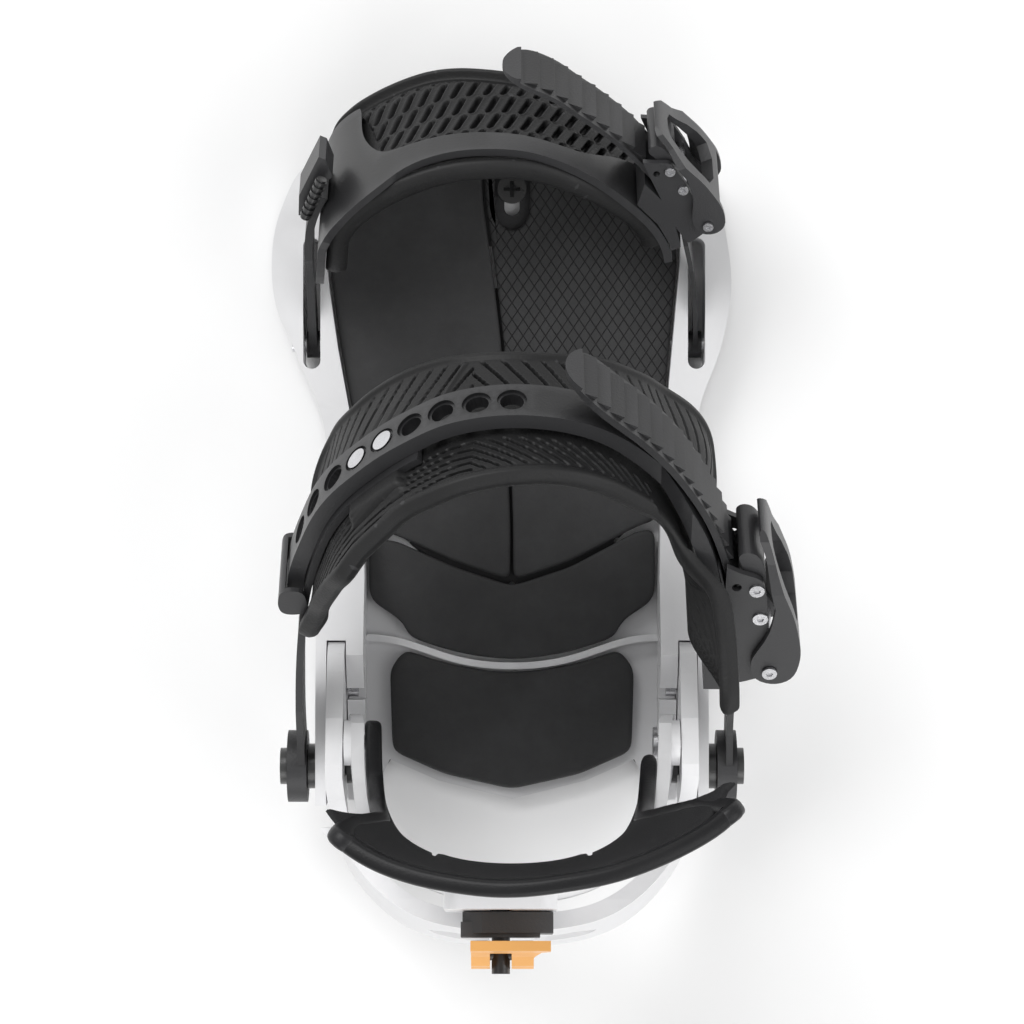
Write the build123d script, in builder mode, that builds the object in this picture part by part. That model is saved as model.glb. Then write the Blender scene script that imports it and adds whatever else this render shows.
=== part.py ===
from build123d import *
from math import cos, sin, radians, hypot
import os

# Snowboard binding, right foot, millimetres.
# Origin: centre of the mounting disc on the underside. +X right, +Y toe, +Z up.

# ---- driving dimensions -------------------------------------------------------------------------
CUSHION_T = 3.0             # soft pads under the base
FLOOR_TOP = 9.0             # top of the base floor
PAD_TOP = 15.0              # top of the footbed pads
SHELF_TOP = 20.0            # top of the flared toe shelves
RAIL_TOP = 44.0             # top of the side walls at the heel
WALL_OUT = 62.6             # outer face of the side walls
WALL_IN = 59.2              # outer wall, inner face (heelcup slot)
SLOT_IN = 53.0              # inner wall, outer face (heelcup slot)
TRAY_HALF = 47.5            # half width of the heel tray
BASE_REAR = -118.4          # rear end of the side walls

DISC_R = 48.5               # mounting disc
DISC_PITCH = 40.0           # four-hole board pattern
DISC_HOLE_R = 3.25

TOE_PIVOT_Y = 30.0          # toe strap pivot, in the shelf slots
TOE_PIVOT_Z = 8.0
TOE_TILT = 40.0             # toe strap plane above the horizontal
TOE_SLOT_L = -65.0          # slot centre, left shelf
TOE_SLOT_R = 59.9           # slot centre, right shelf
TOE_SLOT_W = 5.6
TOE_SLOT_LEN = 42.5
TOE_SLOT_Y = 42.75

ANKLE_PIVOT_Y = -106.3      # ankle strap bolts
ANKLE_PIVOT_Z = 36.0
ANKLE_TILT = 42.0

CUP_T = 5.4                 # heelcup wall
CUP_OUT = 58.8              # heelcup arm, outer face
CUP_TILT = -16.0            # heelcup band rises to the rear
CUP_HALF_H = 19.0
CUP_Z = 38.0                # band mid height at the ankle bolts
CUP_TRAVEL = 8.0            # heelcup slides this far back from the position shown

HIGHBACK_PIVOT_Y = -98.0
HIGHBACK_PIVOT_Z = 50.0
BACK_LEAN = 7.7             # the highback's rear face leans towards the toe

PIN_FIT = 0.07              # radial clearance of a pin in a moving hole
CLEAR = 0.4                 # gap between bodies that move past each other

os.makedirs("parts", exist_ok=True)


def save(part, label):
    """Label a finished piece and write its STEP file."""
    part.label = label
    export_step(part, f"parts/{label}.step")
    return part


def strap_plane(pivot_y, pivot_z, tilt, w=0.0):
    """Sketch plane of a strap: x = X, y = along the strap from the pivot, normal = across it."""
    t = radians(tilt)
    normal = (0, -sin(t), cos(t))
    return Plane(origin=(0, pivot_y, pivot_z), x_dir=(1, 0, 0), z_dir=normal).offset(w)


def ankle(w=0.0):
    return strap_plane(ANKLE_PIVOT_Y, ANKLE_PIVOT_Z, ANKLE_TILT, w)


def toe(w=0.0):
    return strap_plane(TOE_PIVOT_Y, TOE_PIVOT_Z, TOE_TILT, w)


def offset_curve(points, distance):
    """Shift an open curve sideways, positive to the left of its direction."""
    shifted = []
    for i, (x, y) in enumerate(points):
        ax, ay = points[max(i - 1, 0)]
        bx, by = points[min(i + 1, len(points) - 1)]
        run = hypot(bx - ax, by - ay)
        shifted.append((x - (by - ay) / run * distance, y + (bx - ax) / run * distance))
    return shifted


def band_face(points, inner, outer):
    """Closed face between two offsets of an open curve. Call inside BuildSketch."""
    a = offset_curve(points, inner)
    b = offset_curve(points, outer)
    with BuildLine() as outline:
        Spline(*a)
        Line(a[-1], b[-1])
        Spline(*b)
        Line(a[0], b[0])
    make_face(outline.edges())


def rounded(points, passes=2):
    """Closed outline with its corners cut, for moulded shapes. Returns points with the first repeated."""
    loop = list(points[:-1]) if points[0] == points[-1] else list(points)
    for _ in range(passes):
        cut = []
        for (ax, ay), (bx, by) in zip(loop, loop[1:] + loop[:1]):
            cut.append((0.75 * ax + 0.25 * bx, 0.75 * ay + 0.25 * by))
            cut.append((0.25 * ax + 0.75 * bx, 0.25 * ay + 0.75 * by))
        loop = cut
    return loop + [loop[0]]


# ---- base ---------------------------------------------------------------------------------------
def base_outline(side):
    """Half plan outline from the toe to the heel. side -1 is the wider left shelf."""
    if side < 0:
        return [(0, 92), (-32, 91.5), (-58, 90), (-68, 87), (-73, 78.5), (-76.6, 68), (-78, 56.2),
                (-77.4, 46), (-75.2, 37.5), (-71, 28.6), (-67.3, 19.5), (-63.5, 11), (-61, 2),
                (-60.2, -10), (-60.6, -30), (-62, -55)]
    return [(0, 92), (30, 91.5), (52, 90), (62, 87), (67, 77), (69.8, 63), (71.1, 53), (71, 44.5),
            (69.6, 36), (67.4, 27), (64.6, 19.5), (61.8, 12), (60, 2), (59.8, -10), (60.4, -30),
            (62, -55)]


def build_baseplate():
    with BuildPart() as base:
        with BuildSketch(Plane.XY.offset(CUSHION_T)):
            left = base_outline(-1)
            right = base_outline(1)
            with BuildLine():
                Line(left[0], left[1])
                Spline(*left[1:])
                Polyline(left[-1], (-WALL_OUT, -62), (-WALL_OUT, BASE_REAR), (-46, BASE_REAR),
                         (-40, -106), (-24, -113), (0, -119), (24, -113), (40, -106),
                         (46, BASE_REAR), (WALL_OUT, BASE_REAR), (WALL_OUT, -62), right[-1])
                Spline(*reversed(right[1:]))
                Line(right[1], right[0])
            make_face()
        extrude(amount=RAIL_TOP - CUSHION_T)
        # the top follows the side silhouette: low shelf at the toe, high rails at the heel
        with BuildSketch(Plane.YZ.offset(-90)):
            with BuildLine():
                crest = [(96, 12.5), (88, 15), (78, 18.5), (62, SHELF_TOP), (30, SHELF_TOP),
                         (8, 19), (-12, 19.5), (-32, 24), (-50, 32), (-66, 40), (-80, RAIL_TOP - 1),
                         (-100, RAIL_TOP)]
                Spline(*crest)
                Polyline(crest[-1], (-130, RAIL_TOP), (-130, 60), (96, 60), crest[0])
            make_face()
        extrude(amount=180, mode=Mode.SUBTRACT)
        # tray for the footbed
        with BuildSketch(Plane.XY.offset(FLOOR_TOP)):
            with BuildLine():
                Polyline((-58, 100), (-61, 64), (-59.4, 48), (-56.5, 28), (-53.2, 9.8),
                         (-50, -8), (-48, -30), (-TRAY_HALF, -46), (-TRAY_HALF, -130), (TRAY_HALF, -130),
                         (TRAY_HALF, -46), (48, -30), (49.5, -8), (51, 16.8), (52.2, 30.5),
                         (53.2, 41.7), (54.6, 56), (55, 100), (-58, 100))
            make_face()
        extrude(amount=60, mode=Mode.SUBTRACT)
        # slots that take the heelcup arms, open to the rear
        for side in (-1, 1):
            with BuildSketch(Plane.XY.offset(FLOOR_TOP + 2)):
                with Locations((side * (SLOT_IN + WALL_IN) / 2, -93.5)):
                    Rectangle(WALL_IN - SLOT_IN, 55)
            extrude(amount=60, mode=Mode.SUBTRACT)
        # inner walls step down towards the heel, clear of the highback arms
        with BuildSketch(Plane.YZ.offset(-SLOT_IN - 0.1)):
            with BuildLine():
                Polyline((-60, 50), (-76, 37), (-86, 28), (-100, 22), (-130, 19), (-130, 60), (-60, 60), (-60, 50))
            make_face()
        extrude(amount=2 * SLOT_IN + 0.2, mode=Mode.SUBTRACT)
        # rib between the two heel pads
        with BuildSketch(Plane.XY.offset(FLOOR_TOP)):
            rib = [(-TRAY_HALF, -66), (-36, -67.4), (-20, -72.6), (0, -75.2), (20, -72.6), (36, -67.4),
                   (TRAY_HALF, -66)]
            band_face(rib, -1.1, 1.1)
        extrude(amount=PAD_TOP - FLOOR_TOP - 1)
        # disc opening with its ledge
        with BuildSketch(Plane.XY.offset(CUSHION_T)):
            Circle(DISC_R - 6)
        extrude(amount=10, mode=Mode.SUBTRACT)
        with BuildSketch(Plane.XY.offset(CUSHION_T + 2.4)):
            Circle(DISC_R + 0.2)
        extrude(amount=4, mode=Mode.SUBTRACT)
        # toe connector slots
        for x in (TOE_SLOT_L, TOE_SLOT_R):
            with BuildSketch(Plane.XY):
                with Locations((x, TOE_SLOT_Y)):
                    SlotOverall(TOE_SLOT_LEN, TOE_SLOT_W, rotation=90)
            extrude(amount=40, mode=Mode.SUBTRACT)
        # toe pivot pin bores, blind from the outside of the shelf
        for x, d in ((TOE_SLOT_L, 1), (TOE_SLOT_R, -1)):
            with BuildSketch(Plane.YZ.offset(x - d * 14)):
                with Locations((TOE_PIVOT_Y, TOE_PIVOT_Z)):
                    Circle(2.5)
            extrude(amount=d * 22, mode=Mode.SUBTRACT)
        # ankle bolt bores, heelcup clamp screw bores and sight holes in the inner walls
        for side in (-1, 1):
            with BuildSketch(Plane.YZ.offset(side * (WALL_IN - 1))):
                with Locations((ANKLE_PIVOT_Y, ANKLE_PIVOT_Z)):
                    Circle(3.0)
                with Locations((-80, 26)):
                    Circle(2.5)
            extrude(amount=side * 8, mode=Mode.SUBTRACT)
            with BuildSketch(Plane.YZ.offset(side * (TRAY_HALF - 2))):
                with Locations((-63, 28)):
                    Circle(5.3)
                with Locations((-80, 24)):
                    Rectangle(11, 16)
            extrude(amount=side * 8, mode=Mode.SUBTRACT)
        # toe ramp screw bore
        with BuildSketch(Plane.XY):
            with Locations((0, 80.4)):
                Circle(2.0)
        extrude(amount=12, mode=Mode.SUBTRACT)
    return base.part


def build_base_cushions():
    with BuildPart() as cushions:
        with BuildSketch(Plane.XY):
            with BuildLine():
                left = [(x * 0.955, y * 0.97) for x, y in base_outline(-1)]
                right = [(x * 0.955, y * 0.97) for x, y in base_outline(1)]
                Line(left[0], left[1])
                Spline(*left[1:])
                Polyline(left[-1], (-59.5, -60), (-59.5, -112), (-44, -112), (-38, -104), (-22, -110),
                         (0, -114), (22, -110), (38, -104), (44, -112), (59.5, -112), (59.5, -60),
                         right[-1])
                Spline(*reversed(right[1:]))
                Line(right[1], right[0])
            make_face()
            Circle(DISC_R + 3, mode=Mode.SUBTRACT)
            for x in (TOE_SLOT_L, TOE_SLOT_R):
                with Locations((x, TOE_SLOT_Y)):
                    SlotOverall(TOE_SLOT_LEN + 2, TOE_SLOT_W + 2, rotation=90, mode=Mode.SUBTRACT)
            for y in (54, -54):
                with Locations((0, y)):
                    Rectangle(200, 3, mode=Mode.SUBTRACT)
            Rectangle(3, 60, mode=Mode.SUBTRACT)
        extrude(amount=CUSHION_T)
    return cushions.part


def build_disc():
    with BuildPart() as disc:
        with BuildSketch(Plane.XY):
            Circle(DISC_R - 6.3)
        extrude(amount=CUSHION_T + 3)
        with BuildSketch(Plane.XY.offset(CUSHION_T + 2.6)):
            Circle(DISC_R)
            with PolarLocations(DISC_R + 0.4, 48):
                Circle(1.2, mode=Mode.SUBTRACT)
        extrude(amount=3.4)
        with BuildSketch(Plane.XY):
            with GridLocations(DISC_PITCH, DISC_PITCH, 2, 2):
                Circle(DISC_HOLE_R)
            Circle(4)
        extrude(amount=20, mode=Mode.SUBTRACT)
    return disc.part


SEAM = [(-11, 95), (-9, 76), (-5.6, 52), (-3, 30), (-1, 0), (0, -30), (0, -60)]
RAMP_REAR_Y = 56.0          # the pads lift over the toe ramp in front of this line
RAMP_GAP_Z = 12.4           # underside of the pads over the ramp


def build_front_pad(side):
    """Front footbed pad, left or right of the seam."""
    with BuildPart() as pad:
        with BuildSketch(Plane.XY.offset(FLOOR_TOP)):
            with BuildLine():
                if side < 0:
                    Polyline((-10, 89), (-55, 88.4), (-60, 64), (-58.5, 48), (-55.7, 28.1), (-52.4, 9.8),
                             (-49.2, -8), (-47.2, -30), (-38, -32.5), (-18.6, -41.1), (-0.6, -47.2))
                    Polyline((-0.6, -47.2), *[(x - 0.5, y) for x, y in reversed(SEAM[1:-2])], (-10, 89))
                else:
                    Polyline((-9, 89), (52, 88.4), (53.8, 55.7), (52.4, 41.7), (51.4, 30.5), (50.2, 16.8),
                             (48.7, -8), (47.2, -28), (42.6, -28.8), (18.7, -41.1), (0.4, -47.2))
                    Polyline((0.4, -47.2), *[(x + 0.4, y) for x, y in reversed(SEAM[1:-2])], (-9, 89))
            make_face()
            with Locations((0, 84)):
                SlotOverall(34, 10.8, rotation=90, mode=Mode.SUBTRACT)
        extrude(amount=PAD_TOP - FLOOR_TOP)
        with BuildSketch(Plane.XY.offset(FLOOR_TOP - 1)):
            with Locations((0, RAMP_REAR_Y + 25)):
                Rectangle(104, 50)
        extrude(amount=RAMP_GAP_Z - FLOOR_TOP + 1, mode=Mode.SUBTRACT)
    return pad.part


def build_heel_front_pad():
    with BuildPart() as pad:
        with BuildSketch(Plane.XY.offset(FLOOR_TOP)):
            with BuildLine():
                Polyline((-38.6, -34.2), (-18.8, -43), (0, -49.2), (18.9, -43), (41.5, -31),
                         (46.6, -30.6), (46.6, -52), (45.4, -54.2), (35.5, -60.8), (33.8, -65.6))
                Spline((33.8, -65.6), (18.5, -70.6), (0, -73), (-18.5, -70.6), (-33.8, -65.6))
                Polyline((-33.8, -65.6), (-35.5, -60.8), (-45.4, -54.2), (-46.6, -52), (-46.6, -34),
                         (-38.6, -34.2))
            make_face()
        extrude(amount=PAD_TOP - FLOOR_TOP)
    return pad.part


def build_heel_rear_pad():
    with BuildPart() as pad:
        with BuildSketch(Plane.XY.offset(FLOOR_TOP)):
            with BuildLine():
                Spline((-35, -70), (-19, -75), (0, -77.4), (19, -75), (35, -70))
                Polyline((35, -70), (39.8, -76), (39, -103), (22, -110.5), (0, -115.4), (-22, -110.5),
                         (-39, -103), (-39.8, -76), (-35, -70))
            make_face()
        extrude(amount=PAD_TOP - FLOOR_TOP)
    return pad.part


def build_toe_ramp():
    with BuildPart() as ramp:
        with BuildSketch(Plane.XY.offset(FLOOR_TOP + 0.3)):
            with Locations((0, 77)):
                RectangleRounded(98, 30, 4)
            with Locations((0, 80.4)):
                SlotOverall(17, 5.0, rotation=90, mode=Mode.SUBTRACT)
        extrude(amount=2.6)
    return ramp.part


def build_toe_ramp_screw():
    with BuildPart() as screw:
        with BuildSketch(Plane.XY.offset(CUSHION_T + 1)):
            with Locations((0, 80.4)):
                Circle(2.0)
        extrude(amount=FLOOR_TOP - CUSHION_T + 3)
        with BuildSketch(Plane.XY.offset(FLOOR_TOP + 3.3)):
            with Locations((0, 80.4)):
                Circle(4.75)
        extrude(amount=2.2)
        with BuildSketch(Plane.XY.offset(FLOOR_TOP + 4.3)):
            with Locations((0, 80.4)):
                Rectangle(5.4, 1.3)
                Rectangle(1.3, 5.4)
        extrude(amount=3, mode=Mode.SUBTRACT)
    return screw.part


def build_toe_pivot_pins():
    with BuildPart() as pins:
        for x, d in ((TOE_SLOT_L, 1), (TOE_SLOT_R, -1)):
            with BuildSketch(Plane.YZ.offset(x - d * 7)):
                with Locations((TOE_PIVOT_Y, TOE_PIVOT_Z)):
                    Circle(2.5)
            extrude(amount=d * 15)
    return pins.part


def build_ankle_bolts():
    with BuildPart() as bolts:
        for side in (-1, 1):
            for start, length, radius in ((50.4, 2.4, 5.6), (50.4, 22.5, 3.0),
                                          (WALL_OUT, 2.4, 7.2), (71.9, 2.1, 5.85)):
                with BuildSketch(Plane.YZ.offset(side * start)):
                    with Locations((ANKLE_PIVOT_Y, ANKLE_PIVOT_Z)):
                        Circle(radius)
                extrude(amount=side * length)
            with BuildSketch(Plane.YZ.offset(side * 73.0)):
                with Locations((ANKLE_PIVOT_Y, ANKLE_PIVOT_Z)):
                    RegularPolygon(2.6, 6)
            extrude(amount=side * 3, mode=Mode.SUBTRACT)
    return bolts.part


def build_heelcup_screws():
    with BuildPart() as screws:
        for side in (-1, 1):
            for start, length, radius in ((49.6, 3.1, 4.5), (50, 11.4, 2.5)):
                with BuildSketch(Plane.YZ.offset(side * start)):
                    with Locations((-80, 26)):
                        Circle(radius)
                extrude(amount=side * length)
            with BuildSketch(Plane.YZ.offset(side * 49)):
                with Locations((-80, 26)):
                    Rectangle(5, 1.2)
                    Rectangle(1.2, 5)
            extrude(amount=side * 2, mode=Mode.SUBTRACT)
    return screws.part


save(build_baseplate(), "baseplate")
save(build_base_cushions(), "base_cushions")
save(build_disc(), "mounting_disc")
save(build_front_pad(-1), "footbed_front_left")
save(build_front_pad(1), "footbed_front_right")
save(build_heel_front_pad(), "footbed_heel_front")
save(build_heel_rear_pad(), "footbed_heel_rear")
save(build_toe_ramp(), "toe_ramp")
save(build_toe_ramp_screw(), "toe_ramp_screw")
save(build_toe_pivot_pins(), "toe_pivot_pins")
save(build_ankle_bolts(), "ankle_bolts")
save(build_heelcup_screws(), "heelcup_screws")


# ---- heelcup ------------------------------------------------------------------------------------
CUP_PLANE = Plane(origin=(0, ANKLE_PIVOT_Y, CUP_Z), x_dir=(1, 0, 0),
                  z_dir=(0, -sin(radians(CUP_TILT)), cos(radians(CUP_TILT))))


def build_heelcup():
    outer = [(-CUP_OUT, 0), (-CUP_OUT, -8), (-57.2, -18), (-50.4, -33), (-40.6, -44.5), (-28, -52.3),
             (-14.5, -55.4), (0, -56.2)]
    outer += [(-x, y) for x, y in reversed(outer[:-1])]
    inner = offset_curve(outer, CUP_T)
    inner[0] = (-CUP_OUT + CUP_T, 0)
    inner[-1] = (CUP_OUT - CUP_T, 0)
    with BuildPart() as cup:
        with BuildSketch(CUP_PLANE):
            with BuildLine():
                Spline(*outer, tangents=((0, -1), (0, 1)))
                Polyline(outer[-1], (CUP_OUT, 40.5), (CUP_OUT - CUP_T, 40.5), inner[-1])
                Spline(*reversed(inner), tangents=((0, -1), (0, 1)))
                Polyline(inner[0], (-CUP_OUT + CUP_T, 40.5), (-CUP_OUT, 40.5), outer[0])
            make_face()
        extrude(amount=CUP_HALF_H, both=True)
        # side silhouette: rounded arm tips, level lower edge, waisted hoop
        with BuildSketch(Plane.YZ.offset(-80)):
            with BuildLine():
                Polyline((-40, 0), (-200, 0), (-200, 46), (-160, 42), (-146, 31), (-128, 17), (-112, 12.6),
                         (-40, 12.6), (-40, 0))
            make_face()
            with BuildLine():
                Polyline((-200, 90), (-150, 71), (-132, 63), (-116, 56.5), (-98, 57.5), (-88, 52),
                         (-76, 47), (-70, 43), (-66.6, 38), (-66.6, 18), (-71, 12), (-40, 12), (-40, 90),
                         (-200, 90))
            make_face()
        extrude(amount=160, mode=Mode.SUBTRACT)
        # adjustment slots: ankle bolt, clamp screw; round bore: highback pivot
        with BuildSketch(Plane.YZ.offset(-80)):
            with Locations((ANKLE_PIVOT_Y + CUP_TRAVEL / 2, ANKLE_PIVOT_Z)):
                SlotOverall(6 + 2 * CLEAR + CUP_TRAVEL, 6 + 2 * CLEAR)
            with Locations((-80 + CUP_TRAVEL / 2, 26)):
                SlotOverall(5 + 2 * CLEAR + CUP_TRAVEL, 5 + 2 * CLEAR)
            with Locations((HIGHBACK_PIVOT_Y, HIGHBACK_PIVOT_Z)):
                Circle(2.5 + PIN_FIT)
        extrude(amount=160, mode=Mode.SUBTRACT)
        # shallow relief panels on the outside of the hoop
        with BuildSketch(Plane.XZ.offset(161.6)):
            for x in (-17, 17):
                with Locations((x, 56)):
                    SlotOverall(20, 9)
        extrude(amount=-5, mode=Mode.SUBTRACT)
    return cup.part


# ---- highback -----------------------------------------------------------------------------------
ARM_HALF = 51.2             # outer face of the highback arms
SHELL_T = 4.0               # shell and liner are thinner at the top
SHELL_TOP_T = 2.4
LINER_T = 5.0
LINER_TOP_T = 1.4
# rear surface of the shell at three heights, left wing to right wing
BACK_LOW = (44.0, [(-51.2, -80), (-51.2, -108), (-46.5, -126), (-38, -138), (-21, -147.6), (0, -150.4),
                   (21, -147.6), (38, -138), (46.5, -126), (51.2, -108), (51.2, -80)])
BACK_MID = (120.0, [(-50.4, -80), (-50, -102), (-46.4, -118), (-36, -130), (-20, -137.4), (0, -139.6),
                    (20, -137.4), (36, -130), (46.4, -118), (50, -102), (50.4, -80)])
BACK_TOP = (214.0, [(-80, -98), (-62, -111.8), (-44, -121.6), (-28.7, -126), (-12, -128.6), (0.5, -129.2),
                    (14, -127.8), (29, -125), (47, -119), (67, -110.5), (90, -97)])


WING_LEFT = [(-116, 150), (-114, 172), (-112.8, 189), (-111.5, 206)]     # front edge near the top, side view
WING_RIGHT = [(-115, 150), (-110.5, 172), (-106.5, 189), (-103.5, 206)]


def back_loft(low, top):
    """Curved wall lofted up the back. low and top are (rear, front) offsets from its rear surface."""
    sections = []
    for (z, curve), offsets in ((BACK_LOW, low), (BACK_MID, low), (BACK_TOP, top)):
        with BuildSketch(Plane.XY.offset(z)) as section:
            band_face(curve, *offsets)
        sections.append(section.sketch)
    with BuildPart(mode=Mode.PRIVATE) as wall:
        loft(sections=sections)
    return wall.part


def trim_back(top_left, top_mid, top_right, front_shift=0.0, low=0.0):
    """Front, side and top silhouette of the highback, cut from the part in the current context."""
    s = front_shift
    for start, upper in ((-100, WING_LEFT), (0, WING_RIGHT)):
        with BuildSketch(Plane.YZ.offset(start)) as profile:
            with BuildLine():
                Polyline((-60, 30), (-88 - s, 30), (-89.5 - s, 47), (-91.5 - s, 54), (-97 - s, 58.5))
                Spline((-97 - s, 58.5), (-107 - s, 68), (-115 - s, 84), (-118.5 - s, 104),
                       (-118 - s, 126), *upper)
                Polyline(upper[-1], (-60, 206), (-60, 30))
            make_face()
            with BuildLine():
                Polyline((-50, 20), (-90, 40), (-96, 43), (-103, 43.6), (-118, 52), (-134, 60 + low),
                         (-170, 63 + low), (-170, 20), (-50, 20))
            make_face()
        extrude(profile.sketch, amount=100, mode=Mode.SUBTRACT)
    with BuildSketch(Plane.XZ.offset(60)) as crest:
        with BuildLine():
            Spline((-100, top_left - 22), (-66, top_left - 14), (-53.5, top_left), (-38, top_left + 6), (0, top_mid),
                   (30, top_mid + 1.5), (55, top_right + 2), (66.5, top_right - 8), (100, top_right - 16))
            Polyline((100, top_right - 16), (100, 260), (-100, 260), (-100, top_left - 22))
        make_face()
        with BuildLine():
            Polyline((-58.5, 150), (-58.5, top_left + 40), (-100, top_left + 40), (-100, 150), (-58.5, 150))
        make_face()
        with BuildLine():
            Polyline((70.5, 150), (70.5, top_right + 40), (110, top_right + 40), (110, 150), (70.5, 150))
        make_face()
    extrude(crest.sketch, amount=120, mode=Mode.SUBTRACT)


LEAN_Z = 88.0               # middle of the lean block
LEAN_BOLT_X = -3.4          # the clamp bolt sits a little left of centre
LEAN_PLANE = Plane(origin=(0, -147.2, LEAN_Z), x_dir=(1, 0, 0),
                   z_dir=(0, -cos(radians(BACK_LEAN)), sin(radians(BACK_LEAN))))


def build_highback_shell():
    with BuildPart() as shell:
        add(back_loft((0, SHELL_T), (0, SHELL_TOP_T)))
        trim_back(190, 206, 199)
        # pivot bosses and spacers on the arms
        for side in (-1, 1):
            with BuildSketch(Plane.YZ.offset(side * (ARM_HALF - SHELL_T))):
                with Locations((HIGHBACK_PIVOT_Y, HIGHBACK_PIVOT_Z)):
                    Circle(7.2)
            extrude(amount=side * (CUP_OUT - CUP_T - CLEAR - ARM_HALF + SHELL_T))
        # flat pad on the rear face for the lean block
        with BuildSketch(LEAN_PLANE):
            with Locations((LEAN_BOLT_X, 10)):
                RectangleRounded(34, 46, 5)
        extrude(amount=-9)
        add(back_loft((SHELL_T - 0.1, SHELL_T + 14), (SHELL_TOP_T - 0.1, SHELL_T + 14)), mode=Mode.SUBTRACT)
        # flat seat for the bolt head, and the clamp slot
        with BuildSketch(LEAN_PLANE.offset(-6.4)):
            with Locations((LEAN_BOLT_X, 8)):
                SlotOverall(42, 15, rotation=90)
        extrude(amount=-12, mode=Mode.SUBTRACT)
        with BuildSketch(LEAN_PLANE):
            with Locations((LEAN_BOLT_X, 8)):
                SlotOverall(26, 6 + 2 * CLEAR, rotation=90)
        extrude(amount=-20, mode=Mode.SUBTRACT)
        with BuildSketch(Plane.YZ.offset(-60)):
            with Locations((HIGHBACK_PIVOT_Y, HIGHBACK_PIVOT_Z)):
                Circle(2.5)
        extrude(amount=120, mode=Mode.SUBTRACT)
    return shell.part


def build_highback_liner():
    with BuildPart() as liner:
        add(back_loft((SHELL_T + 0.2, SHELL_T + LINER_T), (SHELL_TOP_T + 0.2, SHELL_TOP_T + LINER_TOP_T)))
        trim_back(189.8, 205.8, 198.8, 3.0, 4.0)
        with BuildSketch(Plane.XY.offset(30)):
            with Locations((0, -80)):
                Rectangle(160, 60)
        extrude(amount=40, mode=Mode.SUBTRACT)
        # pocket for the clamp bolt head
        with BuildSketch(LEAN_PLANE):
            with Locations((LEAN_BOLT_X, 8)):
                SlotOverall(34, 15, rotation=90)
        extrude(amount=-30, mode=Mode.SUBTRACT)
    return liner.part


def build_highback_rim():
    """Rolled edge of the liner that caps the top of the shell."""
    with BuildPart() as rim:
        add(back_loft((-1.5, SHELL_T + LINER_T + 0.6), (-0.3, SHELL_TOP_T + LINER_TOP_T + 0.4)))
        trim_back(196, 212, 205)
        with BuildPart(mode=Mode.PRIVATE) as below:
            add(back_loft((-20, 30), (-20, 30)))
            trim_back(190.2, 206.2, 199.2)
        add(below.part, mode=Mode.SUBTRACT)
    return rim.part


def build_highback_pins():
    with BuildPart() as pins:
        for side in (-1, 1):
            for start, length, radius in ((ARM_HALF - SHELL_T - 2.6, 1.3, 5.0),
                                          (ARM_HALF - SHELL_T - 2.6, 13.8, 2.5)):
                with BuildSketch(Plane.YZ.offset(side * start)):
                    with Locations((HIGHBACK_PIVOT_Y, HIGHBACK_PIVOT_Z)):
                        Circle(radius)
                extrude(amount=side * length)
    return pins.part


# ---- forward lean adjuster ----------------------------------------------------------------------
def build_lean_block():
    with BuildPart() as block:
        with BuildSketch(LEAN_PLANE.offset(CLEAR)):
            with BuildLine():
                Polyline((-15, -13), (-15, 11), (-9, 15), (12.5, 13), (12.5, -13), (-15, -13))
            make_face()
        extrude(amount=6.4)
        # cradle for the cam barrel
        with BuildSketch(LEAN_PLANE.offset(CLEAR + 3)):
            with Locations((-3.5, 4)):
                Rectangle(24, 18)
        extrude(amount=4.6)
        with BuildSketch(Plane.YZ.offset(-30)):
            with Locations((LEAN_BARREL_Y, LEAN_BARREL_Z)):
                Circle(BARREL_R + CLEAR)
        extrude(amount=60, mode=Mode.SUBTRACT)
        with BuildSketch(LEAN_PLANE):
            with Locations((LEAN_BOLT_X, 4)):
                Circle(3.0)
        extrude(amount=20, mode=Mode.SUBTRACT)
    return block.part


def lean_point(along, out):
    """World (Y, Z) of a point on the lean block plane: along the back, and outward from it."""
    t = radians(BACK_LEAN)
    return (-147.2 + along * sin(t) - out * cos(t), LEAN_Z + along * cos(t) + out * sin(t))


BARREL_R = 4.3
LEAN_BARREL_Y, LEAN_BARREL_Z = lean_point(4.0, 13.2)


def build_lean_bolt():
    with BuildPart() as bolt:
        with BuildSketch(LEAN_PLANE.offset(-9.2)):
            with Locations((LEAN_BOLT_X, 4)):
                Circle(6.0)
        extrude(amount=2.4)
        with BuildSketch(LEAN_PLANE.offset(-9.2)):
            with Locations((LEAN_BOLT_X, 4)):
                Circle(2.8)
        extrude(amount=9.2 + 19)
        with BuildSketch(Plane.YZ.offset(-30)):
            with Locations((LEAN_BARREL_Y, LEAN_BARREL_Z)):
                Circle(1.7)
        extrude(amount=60, mode=Mode.SUBTRACT)
    return bolt.part


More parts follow.
